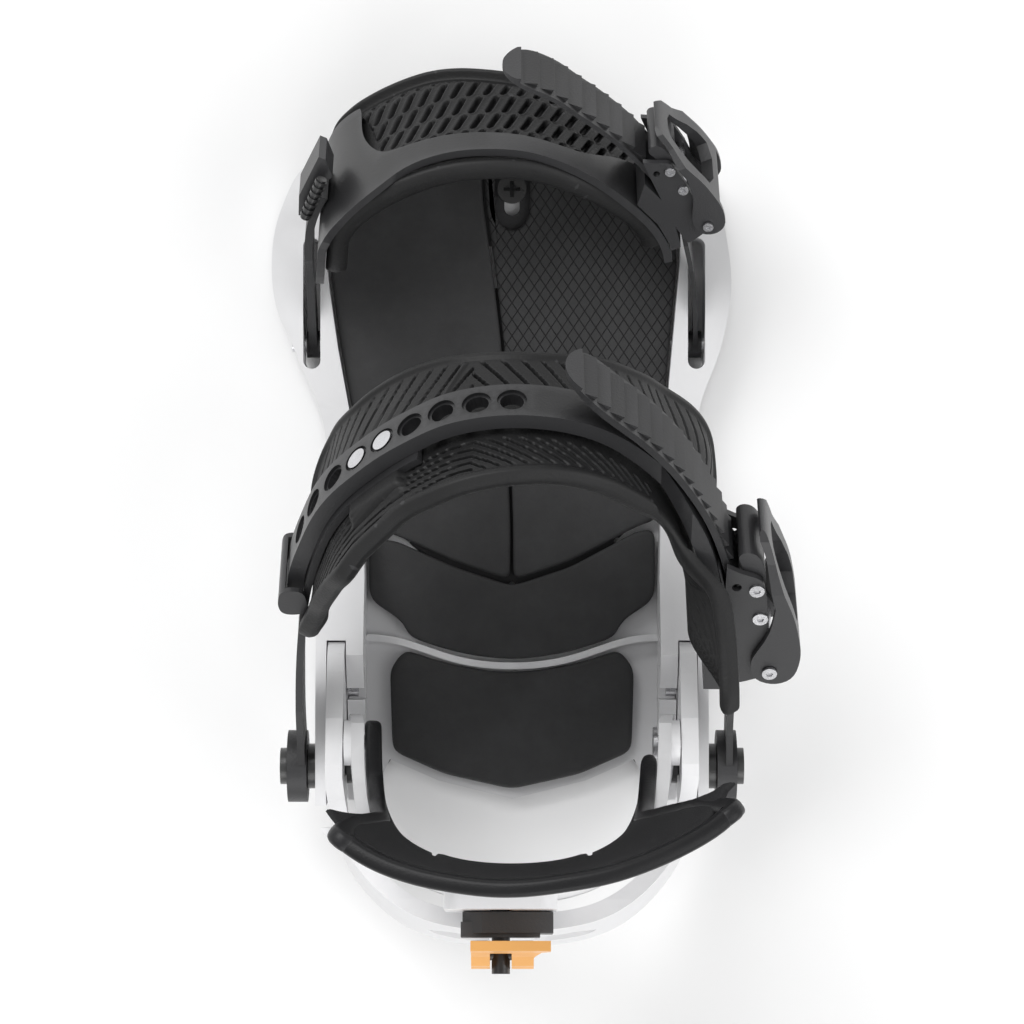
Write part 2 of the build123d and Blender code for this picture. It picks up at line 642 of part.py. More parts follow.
def build_lean_lever():
    """Cam lever: two barrel legs either side of the bolt and a handle that lies up against the block."""
    t = BACK_LEAN
    with BuildPart() as lever:
        with BuildSketch(Plane.YZ.offset(-12.4)):
            with Locations((LEAN_BARREL_Y, LEAN_BARREL_Z)):
                Circle(BARREL_R)
        extrude(amount=18.9)
        with BuildSketch(Plane.YZ.offset(-12.4)):
            with BuildLine():
                Polyline(lean_point(4.0, 17.4), lean_point(8.0, 16.6), lean_point(11.5, 14.0),
                         lean_point(15, 12.8), lean_point(28, 12.4), lean_point(28, 9.4),
                         lean_point(15, 9.5), lean_point(10, 10.6), lean_point(7, 12.5), lean_point(4.0, 17.4))
            make_face()
        extrude(amount=24)
        # fork gap round the bolt, and the bevelled right-hand end
        with BuildSketch(Plane.YZ.offset(LEAN_BOLT_X - 3.3)):
            with BuildLine():
                Polyline(lean_point(-4, 5), lean_point(14.5, 5), lean_point(14.5, 22), lean_point(-4, 22),
                         lean_point(-4, 5))
            make_face()
        extrude(amount=6.6, mode=Mode.SUBTRACT)
        with BuildSketch(LEAN_PLANE):
            with BuildLine():
                Polyline((6.6, -2), (6.6, 11), (11.7, 20), (14, 20), (14, -2), (6.6, -2))
            make_face()
        extrude(amount=30, mode=Mode.SUBTRACT)
        with BuildSketch(Plane.YZ.offset(-30)):
            with Locations((LEAN_BARREL_Y, LEAN_BARREL_Z)):
                Circle(1.7 + PIN_FIT)
        extrude(amount=60, mode=Mode.SUBTRACT)
    return lever.part


def build_lean_pin():
    with BuildPart() as pin:
        with BuildSketch(Plane.YZ.offset(-12.0)):
            with Locations((LEAN_BARREL_Y, LEAN_BARREL_Z)):
                Circle(1.7)
        extrude(amount=18.2)
    return pin.part


save(build_heelcup(), "heelcup")
save(build_highback_shell(), "highback_shell")
save(build_highback_liner(), "highback_liner")
save(build_highback_rim(), "highback_rim")
save(build_highback_pins(), "highback_pins")
save(build_lean_block(), "lean_block")
save(build_lean_bolt(), "lean_bolt")
save(build_lean_lever(), "lean_lever")
save(build_lean_pin(), "lean_pin")


# ---- straps: shared pieces ----------------------------------------------------------------------
LADDER_HALF = 11.0          # half width of a ladder strap
TEETH_HALF = 9.0
TOOTH_PITCH = 5.5
TOOTH_H = 1.5
PLATE_IN = 11.5             # buckle side plates, inner and outer faces
PLATE_OUT = 13.5
CHEEK_IN = 13.9             # lever cheeks
CHEEK_OUT = 15.9

ANKLE_BUCKLE = (78.8, 57.9)  # lever pivot in the ankle strap plane
TOE_BUCKLE = (61.6, 59.0)    # lever pivot in the toe strap plane
TOE_SCALE = 0.70             # the toe buckle is a smaller copy, turned round its lever pivot
TOE_TURN = 24.0

# buckle outlines, written round the lever pivot of the ankle buckle
PLATE = [(-14.2, 41), (-10, 38.6), (-4.4, 36.5), (-2.8, 34.2), (-1.0, 21), (-1.2, 9), (2.2, 3.2), (3.2, 0),
         (1.8, -3.2), (-3, -5), (-8.6, -7), (-14.6, -8), (-14.6, 41), (-14.2, 41)]
CHEEK = [(-5, -3.2), (1.6, -6), (7.7, -3.2), (9.6, 6.1), (8.4, 14.1), (6.7, 22.1), (3.7, 30.1), (1.0, 28.4),
         (-0.0, 18.7), (-1.8, 13.1), (-4.1, 8.5), (-6.1, 4.1), (-5, -3.2)]
HANDLE = [(3.9, 6), (3.3, 13), (2.0, 22.1), (-0.4, 30.1), (-1.8, 38.1), (-3.0, 44), (-5.0, 48.6), (-4.4, 51.2),
          (-2.4, 49.6), (-0.6, 44), (0.9, 38), (3.7, 30.1), (6.7, 22.1), (8.4, 14.1), (9.6, 6.1), (3.9, 6)]
PAWL = [(-7.6, 30.4), (-8.9, 26.0), (-6.0, 25.6), (-2.8, 29), (-2.2, 34), (-2.8, 38), (-3.8, 41.8), (-6.2, 44.6),
        (-9.4, 45), (-11.2, 42.8), (-9.2, 38.5), (-8.3, 34), (-7.6, 30.4)]
RIVETS = [(-5.1, 32.0), (-3.6, 20.4)]
PAWL_PIVOT = (-5.1, 32.0)
SPARE_HOLE = (-11.2, 33.0)


def at_buckle(points, kind):
    """Map points written round the ankle lever pivot to the ankle or toe strap plane."""
    if kind == "ankle":
        return [(x + ANKLE_BUCKLE[0], y + ANKLE_BUCKLE[1]) for x, y in points]
    c, s = cos(radians(TOE_TURN)), sin(radians(TOE_TURN))
    k = TOE_SCALE
    return [(k * (x * c - y * s) + TOE_BUCKLE[0], k * (x * s + y * c) + TOE_BUCKLE[1]) for x, y in points]


def plane_of(kind, w=0.0):
    return ankle(w) if kind == "ankle" else toe(w)


def scale_of(kind):
    return 1.0 if kind == "ankle" else TOE_SCALE


def build_frame(kind, foot):
    """Buckle frame: a foot on the exoframe and two side plates beside the ladder."""
    k = scale_of(kind)
    pins = at_buckle(RIVETS + [(0, 0)], kind)
    with BuildPart() as frame:
        with BuildSketch(plane_of(kind, -PLATE_OUT)):
            with BuildLine():
                Polyline(*foot, foot[0])
            make_face()
        extrude(amount=2 * PLATE_OUT)
        for w in (-PLATE_OUT, PLATE_IN):
            with BuildSketch(plane_of(kind, w)):
                with BuildLine():
                    Polyline(*at_buckle(rounded(PLATE), kind))
                make_face()
            extrude(amount=PLATE_OUT - PLATE_IN)
        with BuildSketch(plane_of(kind, -PLATE_OUT - 1)):
            for x, y in pins:
                with Locations((x, y)):
                    Circle(1.8 * k)
            with Locations(at_buckle([SPARE_HOLE], kind)[0]):
                Circle(1.5 * k)
        extrude(amount=2 * PLATE_OUT + 2, mode=Mode.SUBTRACT)
    return frame.part


def build_rivets(kind):
    """Cross pins of the buckle with domed heads: two through the plates, one through the lever."""
    k = scale_of(kind)
    pins = at_buckle(RIVETS, kind)
    pivot = at_buckle([(0, 0)], kind)[0]
    with BuildPart() as rivets:
        for (x, y), reach in ((pins[0], PLATE_OUT), (pins[1], PLATE_OUT), (pivot, CHEEK_OUT + 0.4)):
            with BuildSketch(plane_of(kind, -reach - 0.8)):
                with Locations((x, y)):
                    Circle(1.8 * k)
            extrude(amount=2 * reach + 1.6)
            for w, socket in ((-reach - 0.8, -reach - 0.9), (reach, reach + 0.3)):
                with BuildSketch(plane_of(kind, w)):
                    with Locations((x, y)):
                        Circle(2.3 * k)
                extrude(amount=0.8)
                with BuildSketch(plane_of(kind, socket)):
                    with Locations((x, y)):
                        RegularPolygon(1.15 * k, 6)
                extrude(amount=0.6, mode=Mode.SUBTRACT)
    return rivets.part


def build_lever(kind):
    """Ratchet lever: cheeks outside the frame, a handle over it that narrows to the tip."""
    k = scale_of(kind)
    pivot = at_buckle([(0, 0)], kind)[0]
    with BuildPart() as lever:
        for w in (-CHEEK_OUT, CHEEK_IN):
            with BuildSketch(plane_of(kind, w)):
                with BuildLine():
                    Polyline(*at_buckle(rounded(CHEEK), kind))
                make_face()
            extrude(amount=CHEEK_OUT - CHEEK_IN)
        with BuildSketch(plane_of(kind, -CHEEK_OUT)):
            with BuildLine():
                Polyline(*at_buckle(rounded(HANDLE), kind))
            make_face()
        extrude(amount=2 * CHEEK_OUT)
        # taper towards the tip
        a, b = at_buckle([(0, 30), (0, 51)], kind)
        along = Vector(b[0] - a[0], b[1] - a[1]).length
        base = plane_of(kind)
        start = base.from_local_coords(Vector(a[0], a[1], 0))
        end = base.from_local_coords(Vector(b[0], b[1], 0))
        side = Plane(origin=start, x_dir=(end - start), z_dir=(end - start).cross(base.z_dir))
        for sign in (-1, 1):
            with BuildSketch(side.offset(-40)):
                with BuildLine():
                    Polyline((0, sign * 18), (2, sign * CHEEK_OUT), (along * 0.5, sign * 11.5),
                             (along * 0.85, sign * 9.5), (along * 1.05, sign * 6), (along * 1.3, sign * 18),
                             (0, sign * 18))
                make_face()
            extrude(amount=80, mode=Mode.SUBTRACT)
        # open window between the two arms of the handle
        window = [(-k * 17, -11.2), (-k * 2, -11.2), (k * 8, -7.4), (k * 14, -5.6), (k * 14, 5.6), (k * 8, 7.4),
                  (-k * 2, 11.2), (-k * 17, 11.2)]
        with BuildSketch(side.offset(-6 * k)):
            with BuildLine():
                Polyline(*rounded(window, 1))
            make_face()
        extrude(amount=18 * k, mode=Mode.SUBTRACT)
        with BuildSketch(plane_of(kind, -CHEEK_OUT - 1)):
            with Locations(pivot):
                Circle(1.8 * k + PIN_FIT)
        extrude(amount=2 * CHEEK_OUT + 2, mode=Mode.SUBTRACT)
    return lever.part


def build_pawl(kind):
    """Release pawl between the side plates: tooth towards the ladder, thumb tab past the frame."""
    k = scale_of(kind)
    pivot = at_buckle([PAWL_PIVOT], kind)[0]
    with BuildPart() as pawl:
        with BuildSketch(plane_of(kind, -PLATE_IN + 0.5)):
            with BuildLine():
                Polyline(*at_buckle(rounded(PAWL), kind))
            make_face()
        extrude(amount=2 * PLATE_IN - 1)
        with BuildSketch(plane_of(kind, -2.4)):
            with Locations(pivot):
                Circle(3.6 * k)
        extrude(amount=4.8, mode=Mode.SUBTRACT)
        with BuildSketch(plane_of(kind, -PLATE_IN)):
            with Locations(pivot):
                Circle(1.8 * k + PIN_FIT)
        extrude(amount=2 * PLATE_IN, mode=Mode.SUBTRACT)
    return pawl.part


def build_pawl_spring(kind):
    """Small torsion coil round the pawl pin, in the gap in the middle of the pawl."""
    k = scale_of(kind)
    pivot = at_buckle([PAWL_PIVOT], kind)[0]
    base = plane_of(kind, -1.6)
    centre = base.from_local_coords(Vector(pivot[0], pivot[1], 0))
    wire = 0.40 * k
    radius = 2.5 * k
    with BuildPart() as spring:
        with BuildLine() as path:
            Helix(pitch=1.1 * k, height=3.2, radius=radius, center=centre, direction=base.z_dir)
        with BuildSketch(Plane(origin=path.line @ 0, z_dir=path.line % 0)):
            Circle(wire)
        sweep(path=path.line, is_frenet=True)
    return spring.part


def walk(points, step):
    """Evenly spaced points with unit normals along a polyline."""
    result = []
    need = 0.0
    for (ax, ay), (bx, by) in zip(points, points[1:]):
        length = hypot(bx - ax, by - ay)
        ux, uy = (bx - ax) / length, (by - ay) / length
        while need <= length:
            result.append((ax + ux * need, ay + uy * need, -uy, ux))
            need += step
        need -= length
    return result


def side_plane(kind, x):
    """Side view of a strap: x = along the strap, y = across it, normal = +X."""
    y, z, tilt = ((ANKLE_PIVOT_Y, ANKLE_PIVOT_Z, ANKLE_TILT) if kind == "ankle"
                  else (TOE_PIVOT_Y, TOE_PIVOT_Z, TOE_TILT))
    t = radians(tilt)
    return Plane(origin=(x, y, z), x_dir=(0, cos(t), sin(t)), z_dir=(1, 0, 0))


def cross_plane(kind, along):
    """View down the strap from above: x = X, y = across it; extrude by a negative amount goes up."""
    t = radians(ANKLE_TILT if kind == "ankle" else TOE_TILT)
    origin = plane_of(kind).from_local_coords(Vector(0, along, 0))
    return Plane(origin=origin, x_dir=(1, 0, 0), z_dir=(0, -cos(t), -sin(t)))


def build_ladder(kind, top, teeth_to, lobe_r, hole_r, lobe_x, tip_x, thickness, waist):
    """Toothed strap from its free tip down through the buckle to the pivot lobe.

    top is the line over the teeth, from the tip down; the strap lies on its right."""
    x_in, x_out = lobe_x
    with BuildPart() as ladder:
        with BuildSketch(plane_of(kind, -LADDER_HALF)):
            band_face(top, -TOOTH_H, -thickness)
        extrude(amount=2 * LADDER_HALF)
        steps = walk(top[:teeth_to], TOOTH_PITCH)
        crown = []
        for x, y, nx, ny in steps:
            crown.append((x, y))
            crown.append((x - nx * (TOOTH_H + 0.2), y - ny * (TOOTH_H + 0.2)))
        root = [(x - nx * (TOOTH_H + 0.9), y - ny * (TOOTH_H + 0.9)) for x, y, nx, ny in steps]
        with BuildSketch(plane_of(kind, -TEETH_HALF)):
            with BuildLine():
                Polyline(*crown, *reversed(root), crown[0])
            make_face()
        extrude(amount=2 * TEETH_HALF)
        # rounded free end
        with BuildSketch(cross_plane(kind, top[0][1] - 30)):
            with Locations((tip_x - 4, 0)):
                Rectangle(30, 40)
            with Locations((tip_x + LADDER_HALF, 0)):
                Circle(LADDER_HALF, mode=Mode.SUBTRACT)
        extrude(amount=-80, mode=Mode.SUBTRACT)
        # waist towards the pivot
        for sign in (-1, 1):
            with BuildSketch(side_plane(kind, 30)):
                with BuildLine():
                    lower = [(a, sign * b) for a, b in waist]
                    Polyline(*lower, (waist[-1][0], sign * 20), (waist[0][0], sign * 20), lower[0])
                make_face()
            extrude(amount=60, mode=Mode.SUBTRACT)
        with BuildSketch(side_plane(kind, x_in)):
            Circle(lobe_r)
        extrude(amount=x_out - x_in)
        with BuildSketch(side_plane(kind, x_in - 5)):
            Circle(hole_r)
        extrude(amount=x_out - x_in + 10, mode=Mode.SUBTRACT)
    return ladder.part


def build_connector(kind, path, thickness, half, lobe_r, hole_r, lobe_x, waist, studs=()):
    """Plain strap from the pivot lobe up to the padded strap."""
    x_in, x_out = lobe_x
    with BuildPart() as strap:
        with BuildSketch(plane_of(kind, -half)):
            band_face(path, -thickness / 2, thickness / 2)
        extrude(amount=2 * half)
        for sign in (-1, 1):
            with BuildSketch(side_plane(kind, -90)):
                with BuildLine():
                    lower = [(a, sign * b) for a, b in waist]
                    Polyline(*lower, (waist[-1][0], sign * 20), (waist[0][0], sign * 20), lower[0])
                make_face()
            extrude(amount=60, mode=Mode.SUBTRACT)
        with BuildSketch(side_plane(kind, x_in)):
            Circle(lobe_r)
        extrude(amount=x_out - x_in)
        with BuildSketch(side_plane(kind, x_in - 5)):
            Circle(hole_r)
        extrude(amount=x_out - x_in + 10, mode=Mode.SUBTRACT)
        for x, y, angle in studs:
            with BuildSketch(stud_plane(x, y, angle, 0)):
                Circle(1.6)
            extrude(amount=12, both=True, mode=Mode.SUBTRACT)
    return strap.part


def stud_plane(x, y, angle, out):
    """Plane whose normal leaves the ankle strap arch at (x, y), angle from the strap's own axis."""
    a = radians(angle)
    origin = ankle().from_local_coords(Vector(x + out * sin(a), y + out * cos(a), 0))
    t = radians(ANKLE_TILT)
    normal = (sin(a), cos(a) * cos(t), cos(a) * sin(t))
    return Plane(origin=origin, x_dir=(0, -sin(t), cos(t)), z_dir=normal)


def cut_to_side(kind, x_from, outline):
    """Keep only the part inside a side outline, on one half of the strap."""
    with BuildSketch(side_plane(kind, x_from)) as view:
        with BuildLine() as line:
            Polyline(*outline, outline[0])
        make_face(line.edges())
    return view.sketch


# ---- ankle strap --------------------------------------------------------------------------------
ANKLE_ARCH = [(-65.7, 84), (-64.6, 92), (-61.6, 101.5), (-57.5, 112), (-51.5, 121.6), (-44.5, 129.1),
              (-36.9, 136), (-28.8, 141.8), (-19.8, 147), (-9.9, 150), (0, 151.1), (11, 150.3),
              (21.5, 147.6), (31, 142.6), (38.8, 136), (45.3, 129), (50.8, 120.5), (55.5, 110.5),
              (58.6, 100.5), (60.5, 90), (61.4, 78), (61.7, 62), (61.5, 48)]
ANKLE_EXO_HALF = 7.0
ANKLE_EXO_T = 5.0
ANKLE_PAD_T = 5.5
ANKLE_PAD_DROP = 5.1        # pad surface below the exoframe centre line
HOLE_R = 3.5
EXO_HOLES = [(-65.7, 86, -83), (-61.6, 101.5, -70), (-57.5, 112, -62), (-51.5, 121.6, -52), (-44.5, 129.1, -45),
             (-36.9, 136, -40), (-28.8, 141.8, -33), (-19.8, 147, -24), (-9.9, 150, -12), (0, 151.1, 0)]
STUD_HOLES = EXO_HOLES[4:6]


def build_ankle_exoframe():
    with BuildPart() as exo:
        with BuildSketch(ankle(-PLATE_OUT)):
            band_face(ANKLE_ARCH, -ANKLE_EXO_T / 2, ANKLE_EXO_T / 2)
        extrude(amount=2 * PLATE_OUT)
        # narrow over the foot, full width under the buckle
        for sign in (-1, 1):
            with BuildSketch(cross_plane("ankle", 0)):
                with BuildLine():
                    Polyline((-90, sign * 6), (-60, sign * ANKLE_EXO_HALF), (44, sign * ANKLE_EXO_HALF),
                             (54, sign * (PLATE_OUT + 0.5)), (54, sign * 30), (-90, sign * 30),
                             (-90, sign * 6))
                make_face()
            extrude(amount=-200, mode=Mode.SUBTRACT)
        for x, y, angle in EXO_HOLES[1:]:
            radius = 1.6 if (x, y, angle) in STUD_HOLES else HOLE_R
            with BuildSketch(stud_plane(x, y, angle, 0)):
                Circle(radius)
            extrude(amount=5, both=True, mode=Mode.SUBTRACT)
            with BuildSketch(stud_plane(x, y, angle, ANKLE_EXO_T / 2 - 1)):
                Circle(HOLE_R + 0.9)
            extrude(amount=6, mode=Mode.SUBTRACT)
    return exo.part


def build_ankle_studs():
    with BuildPart() as studs:
        for x, y, angle in STUD_HOLES:
            with BuildSketch(stud_plane(x, y, angle, -ANKLE_PAD_DROP + 0.15)):
                Circle(1.6)
            extrude(amount=ANKLE_PAD_DROP + 1.3)
            with BuildSketch(stud_plane(x, y, angle, ANKLE_EXO_T / 2 - 1)):
                Circle(3.4)
            extrude(amount=1.0)
    return studs.part


def build_ankle_pad():
    top = -ANKLE_PAD_DROP
    left = [(66, -4), (72, -20), (88, -30), (101, -34), (116, -38), (130, -42), (170, -42), (170, 45),
            (124, 36), (114, 32), (98, 24.5), (84, 16.5), (72, 10), (66, 4)]
    right = [(58, -6), (60, -18), (70, -36), (84, -46), (100, -50), (112, -49), (130, -46), (170, -46),
             (170, 30), (124, 9), (115, 11), (105, 16), (95, 22), (87, 30), (80, 38), (74, 45), (68, 48),
             (62, 46), (58, 30)]
    plan = [(-80, -43), (-59.7, -43), (-54, -42), (-48.7, -40), (-41.5, -40.4), (-29.6, -38), (-11.6, -33),
            (0, -32.2), (10, -32.5), (27.5, -37.5), (38.3, -42), (47.8, -48), (56.8, -52), (80, -54),
            (80, 50), (47, 50), (46, 14), (42, 15.5), (36, 17.5), (23, 19.5), (9.8, 21.5), (-0.7, 23),
            (-17.5, 24.4), (-28.7, 24.2), (-34.5, 25), (-41.5, 27.5), (-46.6, 31.5), (-47, 50), (-80, 50)]
    with BuildPart() as pad:
        with BuildSketch(ankle(-54)):
            band_face(ANKLE_ARCH, top - ANKLE_PAD_T, top)
        extrude(amount=108)
        with BuildSketch(cross_plane("ankle", 0)):
            with BuildLine():
                Polyline(*plan, plan[0])
            make_face()
        extrude(amount=-200, mode=Mode.INTERSECT)
        with BuildPart(mode=Mode.PRIVATE) as halves:
            extrude(cut_to_side("ankle", 0, left), amount=-90)
            extrude(cut_to_side("ankle", 0, right), amount=90)
        add(halves.part, mode=Mode.INTERSECT)
    return pad.part


def build_ankle_keeper():
    """Clip over the lower end of the exoframe that keeps the connector against it."""
    outline = [(-61.6, 80.2), (-66.5, 79.2), (-69.8, 80.0), (-70.8, 83), (-70.6, 86), (-69.8, 88.4),
               (-67.4, 89.2), (-62.4, 88.6)]
    with BuildPart() as keeper:
        with BuildSketch(ankle(-13.2)):
            with BuildLine():
                Polyline(*rounded(outline))
            make_face()
        extrude(amount=26.4)
        with BuildSketch(ankle(-11.3)):
            with Locations((-58.45, 80)):
                Rectangle(20, 40)
        extrude(amount=22.6, mode=Mode.SUBTRACT)
    return keeper.part


ANKLE_LADDER_TOP = [(16, 168.5), (23.2, 163.5), (30.7, 156.3), (38.1, 149.4), (44.6, 142.4), (50.4, 134.8),
                    (55.7, 126.2), (60.3, 117.3), (64, 107.7), (66.8, 98), (69, 88), (70.2, 77), (70.6, 66),
                    (70.7, 56), (70.7, 40), (70.9, 25), (71.4, 12), (71.5, 0)]
ANKLE_CONNECTOR = [(-66.7, 0), (-66.7, 20), (-66.2, 40), (-65.2, 58), (-63.9, 72), (-61.9, 86), (-58.3, 99.8),
                   (-54.4, 110), (-48.6, 119.2), (-41.9, 126.4), (-34.6, 133), (-27, 138.6)]
ANKLE_LOBE_R = 11.5
LOBE_IN, LOBE_OUT = 65.3, 71.5
ANKLE_WAIST = [(-14, 8), (6, 8), (22, 8), (42, LADDER_HALF + 0.2)]
ANKLE_FOOT = [(61.6, 99.3), (63.6, 90), (64.5, 78.5), (64.8, 62), (64.6, 50), (66.4, 50), (66.3, 68),
              (65.7, 80), (64.2, 90), (62.5, 97.5)]

# ---- toe strap ----------------------------------------------------------------------------------
TOE_ARCH = [(-60.9, 39), (-60.5, 45), (-60, 50), (-59.4, 56), (-56.7, 62.5), (-51.5, 68.5), (-44.5, 73.5), (-35.5, 78.4), (-26.5, 82),
            (-17, 84.3), (-6, 85), (3, 84.3), (10.5, 82.3), (18, 79), (28.3, 72.6), (38, 63.8), (44.5, 56.2),
            (48.3, 49), (49.6, 43)]
TOE_EXO_T = 2.6
TOE_PAD_T = 7.0
TOE_LADDER_TOP = [(-2.5, 110.5), (4, 109), (10, 106.7), (15.6, 103.5), (21.2, 99), (26.9, 94.6), (32, 90.2),
                  (36.9, 85.6), (41, 81), (45, 76), (48.4, 71.8), (51.2, 67.9), (53.2, 64), (54.7, 60),
                  (56, 55), (57.2, 49), (58.8, 40), (60.3, 30), (61.3, 20), (61.9, 10), (62, 0)]
TOE_CONNECTOR = [(-65, 0), (-65, 20), (-65, 36), (-64.8, 44), (-64, 51.5), (-62.2, 58), (-59.3, 64)]
TOE_WAIST = [(-8, 4.4), (6, 4.4), (26, 5.4), (34, 6), (48, LADDER_HALF + 0.2)]
TOE_LOBE_R = 4.4
TOE_FOOT = [(39.3, 65.1), (45.9, 57.7), (50.0, 49.9), (50.7, 47.5), (53.4, 49), (51.1, 58.8), (47.6, 66.1),
            (41.5, 73)]


def build_toe_exoframe():
    outline = [(-70, -31), (-49.5, -31), (-48.3, -29), (-47.8, -14.5), (-45, -5), (-41, 2), (-36, 3.6),
               (-18, 3.8), (0, 4.5), (14, 5.2), (24, 3.6), (36, -8), (44, -12.5), (60, -12.5), (60, 13.5),
               (44, 13.5), (34, 14.5), (20, 14), (0, 13.4), (-20, 13.4), (-33, 15), (-41, 20), (-49, 24),
               (-55, 27), (-70, 28)]
    wing = [(35, 9), (42, -8), (50, -23), (58, -29), (70, -32), (95, -32), (95, 40), (62, 27), (50, 25),
            (40, 21), (35, 15)]
    with BuildPart() as exo:
        with BuildSketch(toe(-32)):
            band_face(TOE_ARCH, -TOE_EXO_T / 2, TOE_EXO_T / 2)
        extrude(amount=62)
        with BuildSketch(cross_plane("toe", 0)):
            with BuildLine():
                Polyline(*rounded(outline))
            make_face()
        extrude(amount=-120, mode=Mode.INTERSECT)
        with BuildPart(mode=Mode.PRIVATE) as halves:
            extrude(cut_to_side("toe", 0, rounded(wing)[:-1]), amount=-90)
            extrude(cut_to_side("toe", 0, [(0, -40), (140, -40), (140, 40), (0, 40)]), amount=90)
        add(halves.part, mode=Mode.INTERSECT)
    return exo.part


def build_toe_pad():
    plan = [(-70, -12), (-61, -20), (-58.5, -32), (-54, -37.5), (-47, -38), (-38, -38.5), (-25, -38.5),
            (-16, -36.5), (0, -33.5), (14, -32), (26, -31), (36, -28), (44, -22), (50, -14), (58, -8),
            (58, 12), (47, 8), (40, 8.5), (31, 12.5), (18.5, 15.2), (5.5, 16.4), (-5.5, 17), (-16, 17.5),
            (-27, 18), (-35, 18.6), (-43, 20), (-52, 21), (-58, 20), (-64, 17), (-70, 14)]
    with BuildPart() as pad:
        with BuildSketch(toe(-39)):
            band_face(TOE_ARCH, -TOE_EXO_T / 2 - 0.15 - TOE_PAD_T, -TOE_EXO_T / 2 - 0.15)
        extrude(amount=62)
        with BuildSketch(cross_plane("toe", 0)):
            with BuildLine():
                Polyline(*plan, plan[0])
            make_face()
        extrude(amount=-120, mode=Mode.INTERSECT)
        # the front corners stay clear of the footbed
        side = [(41, 40), (41, -15), (48, -22), (56, -30), (66, -39.5), (110, -39.5), (110, 40)]
        with BuildPart(mode=Mode.PRIVATE) as halves:
            extrude(cut_to_side("toe", -90, side), amount=180)
        add(halves.part, mode=Mode.INTERSECT)
        # pill-shaped perforations in front of the exoframe
        for row, w in enumerate((-27.5, -18, -8.5)):
            for i in range(9):
                with BuildSketch(cross_plane("toe", 60)):
                    with Locations((-33 + 7.4 * i - 3.6 * row, w)):
                        SlotOverall(8.0, 2.4, rotation=-61)
                extrude(amount=-50, mode=Mode.SUBTRACT)
    return pad.part


def build_toe_adjuster():
    with BuildPart() as block:
        with BuildSketch(toe(-6)):
            with BuildLine():
                Polyline((-66.0, 55.6), (-64.1, 60), (-61.4, 65.3), (-56.4, 70.8), (-58.4, 77.2), (-60.5, 78.2),
                         (-63.6, 71.4), (-67.2, 63.4), (-67.6, 56), (-66.0, 55.6))
            make_face()
        extrude(amount=12)
    return block.part


def build_toe_adjuster_screw():
    with BuildPart() as screw:
        start = toe().from_local_coords(Vector(-65.4, 58, 10.2))
        t = radians(TOE_TILT)
        lean = radians(22)
        axis = (sin(lean), cos(lean) * cos(t), cos(lean) * sin(t))
        with BuildSketch(Plane(origin=start, z_dir=axis)):
            Circle(1.5)
        extrude(amount=16)
        for i in range(7):
            with BuildSketch(Plane(origin=start, z_dir=axis).offset(1 + 2.2 * i)):
                Circle(1.9)
            extrude(amount=1.1)
    return screw.part


save(build_connector("ankle", ANKLE_CONNECTOR, 2.2, LADDER_HALF - 1, ANKLE_LOBE_R, 3.0 + PIN_FIT,
                     (-LOBE_OUT, -LOBE_IN), ANKLE_WAIST, STUD_HOLES), "ankle_connector")
save(build_ankle_exoframe(), "ankle_exoframe")
save(build_ankle_keeper(), "ankle_keeper")
save(build_ankle_studs(), "ankle_studs")
save(build_ankle_pad(), "ankle_pad")
save(build_frame("ankle", ANKLE_FOOT), "ankle_buckle_frame")
save(build_rivets("ankle"), "ankle_buckle_rivets")
save(build_lever("ankle"), "ankle_lever")
save(build_pawl("ankle"), "ankle_pawl")
save(build_pawl_spring("ankle"), "ankle_pawl_spring")
save(build_ladder("ankle", ANKLE_LADDER_TOP, 13, ANKLE_LOBE_R, 3.0 + PIN_FIT, (LOBE_IN, LOBE_OUT), 15.5, 3.6,
                  ANKLE_WAIST), "ankle_ladder")
save(build_connector("toe", TOE_CONNECTOR, 2.6, 8.0, TOE_LOBE_R, 2.5 + PIN_FIT,
                     (TOE_SLOT_L - 2.1, TOE_SLOT_L + 2.1), TOE_WAIST), "toe_connector")
save(build_toe_exoframe(), "toe_exoframe")
save(build_toe_pad(), "toe_pad")
save(build_toe_adjuster(), "toe_adjuster")
save(build_toe_adjuster_screw(), "toe_adjuster_screw")
save(build_frame("toe", TOE_FOOT), "toe_buckle_frame")
save(build_rivets("toe"), "toe_buckle_rivets")
save(build_lever("toe"), "toe_lever")
save(build_pawl("toe"), "toe_pawl")
save(build_pawl_spring("toe"), "toe_pawl_spring")
save(build_ladder("toe", TOE_LADDER_TOP, 13, TOE_LOBE_R, 2.5 + PIN_FIT,
                  (TOE_SLOT_R - 2.1, TOE_SLOT_R + 2.1), -3, 3.0, TOE_WAIST), "toe_ladder")
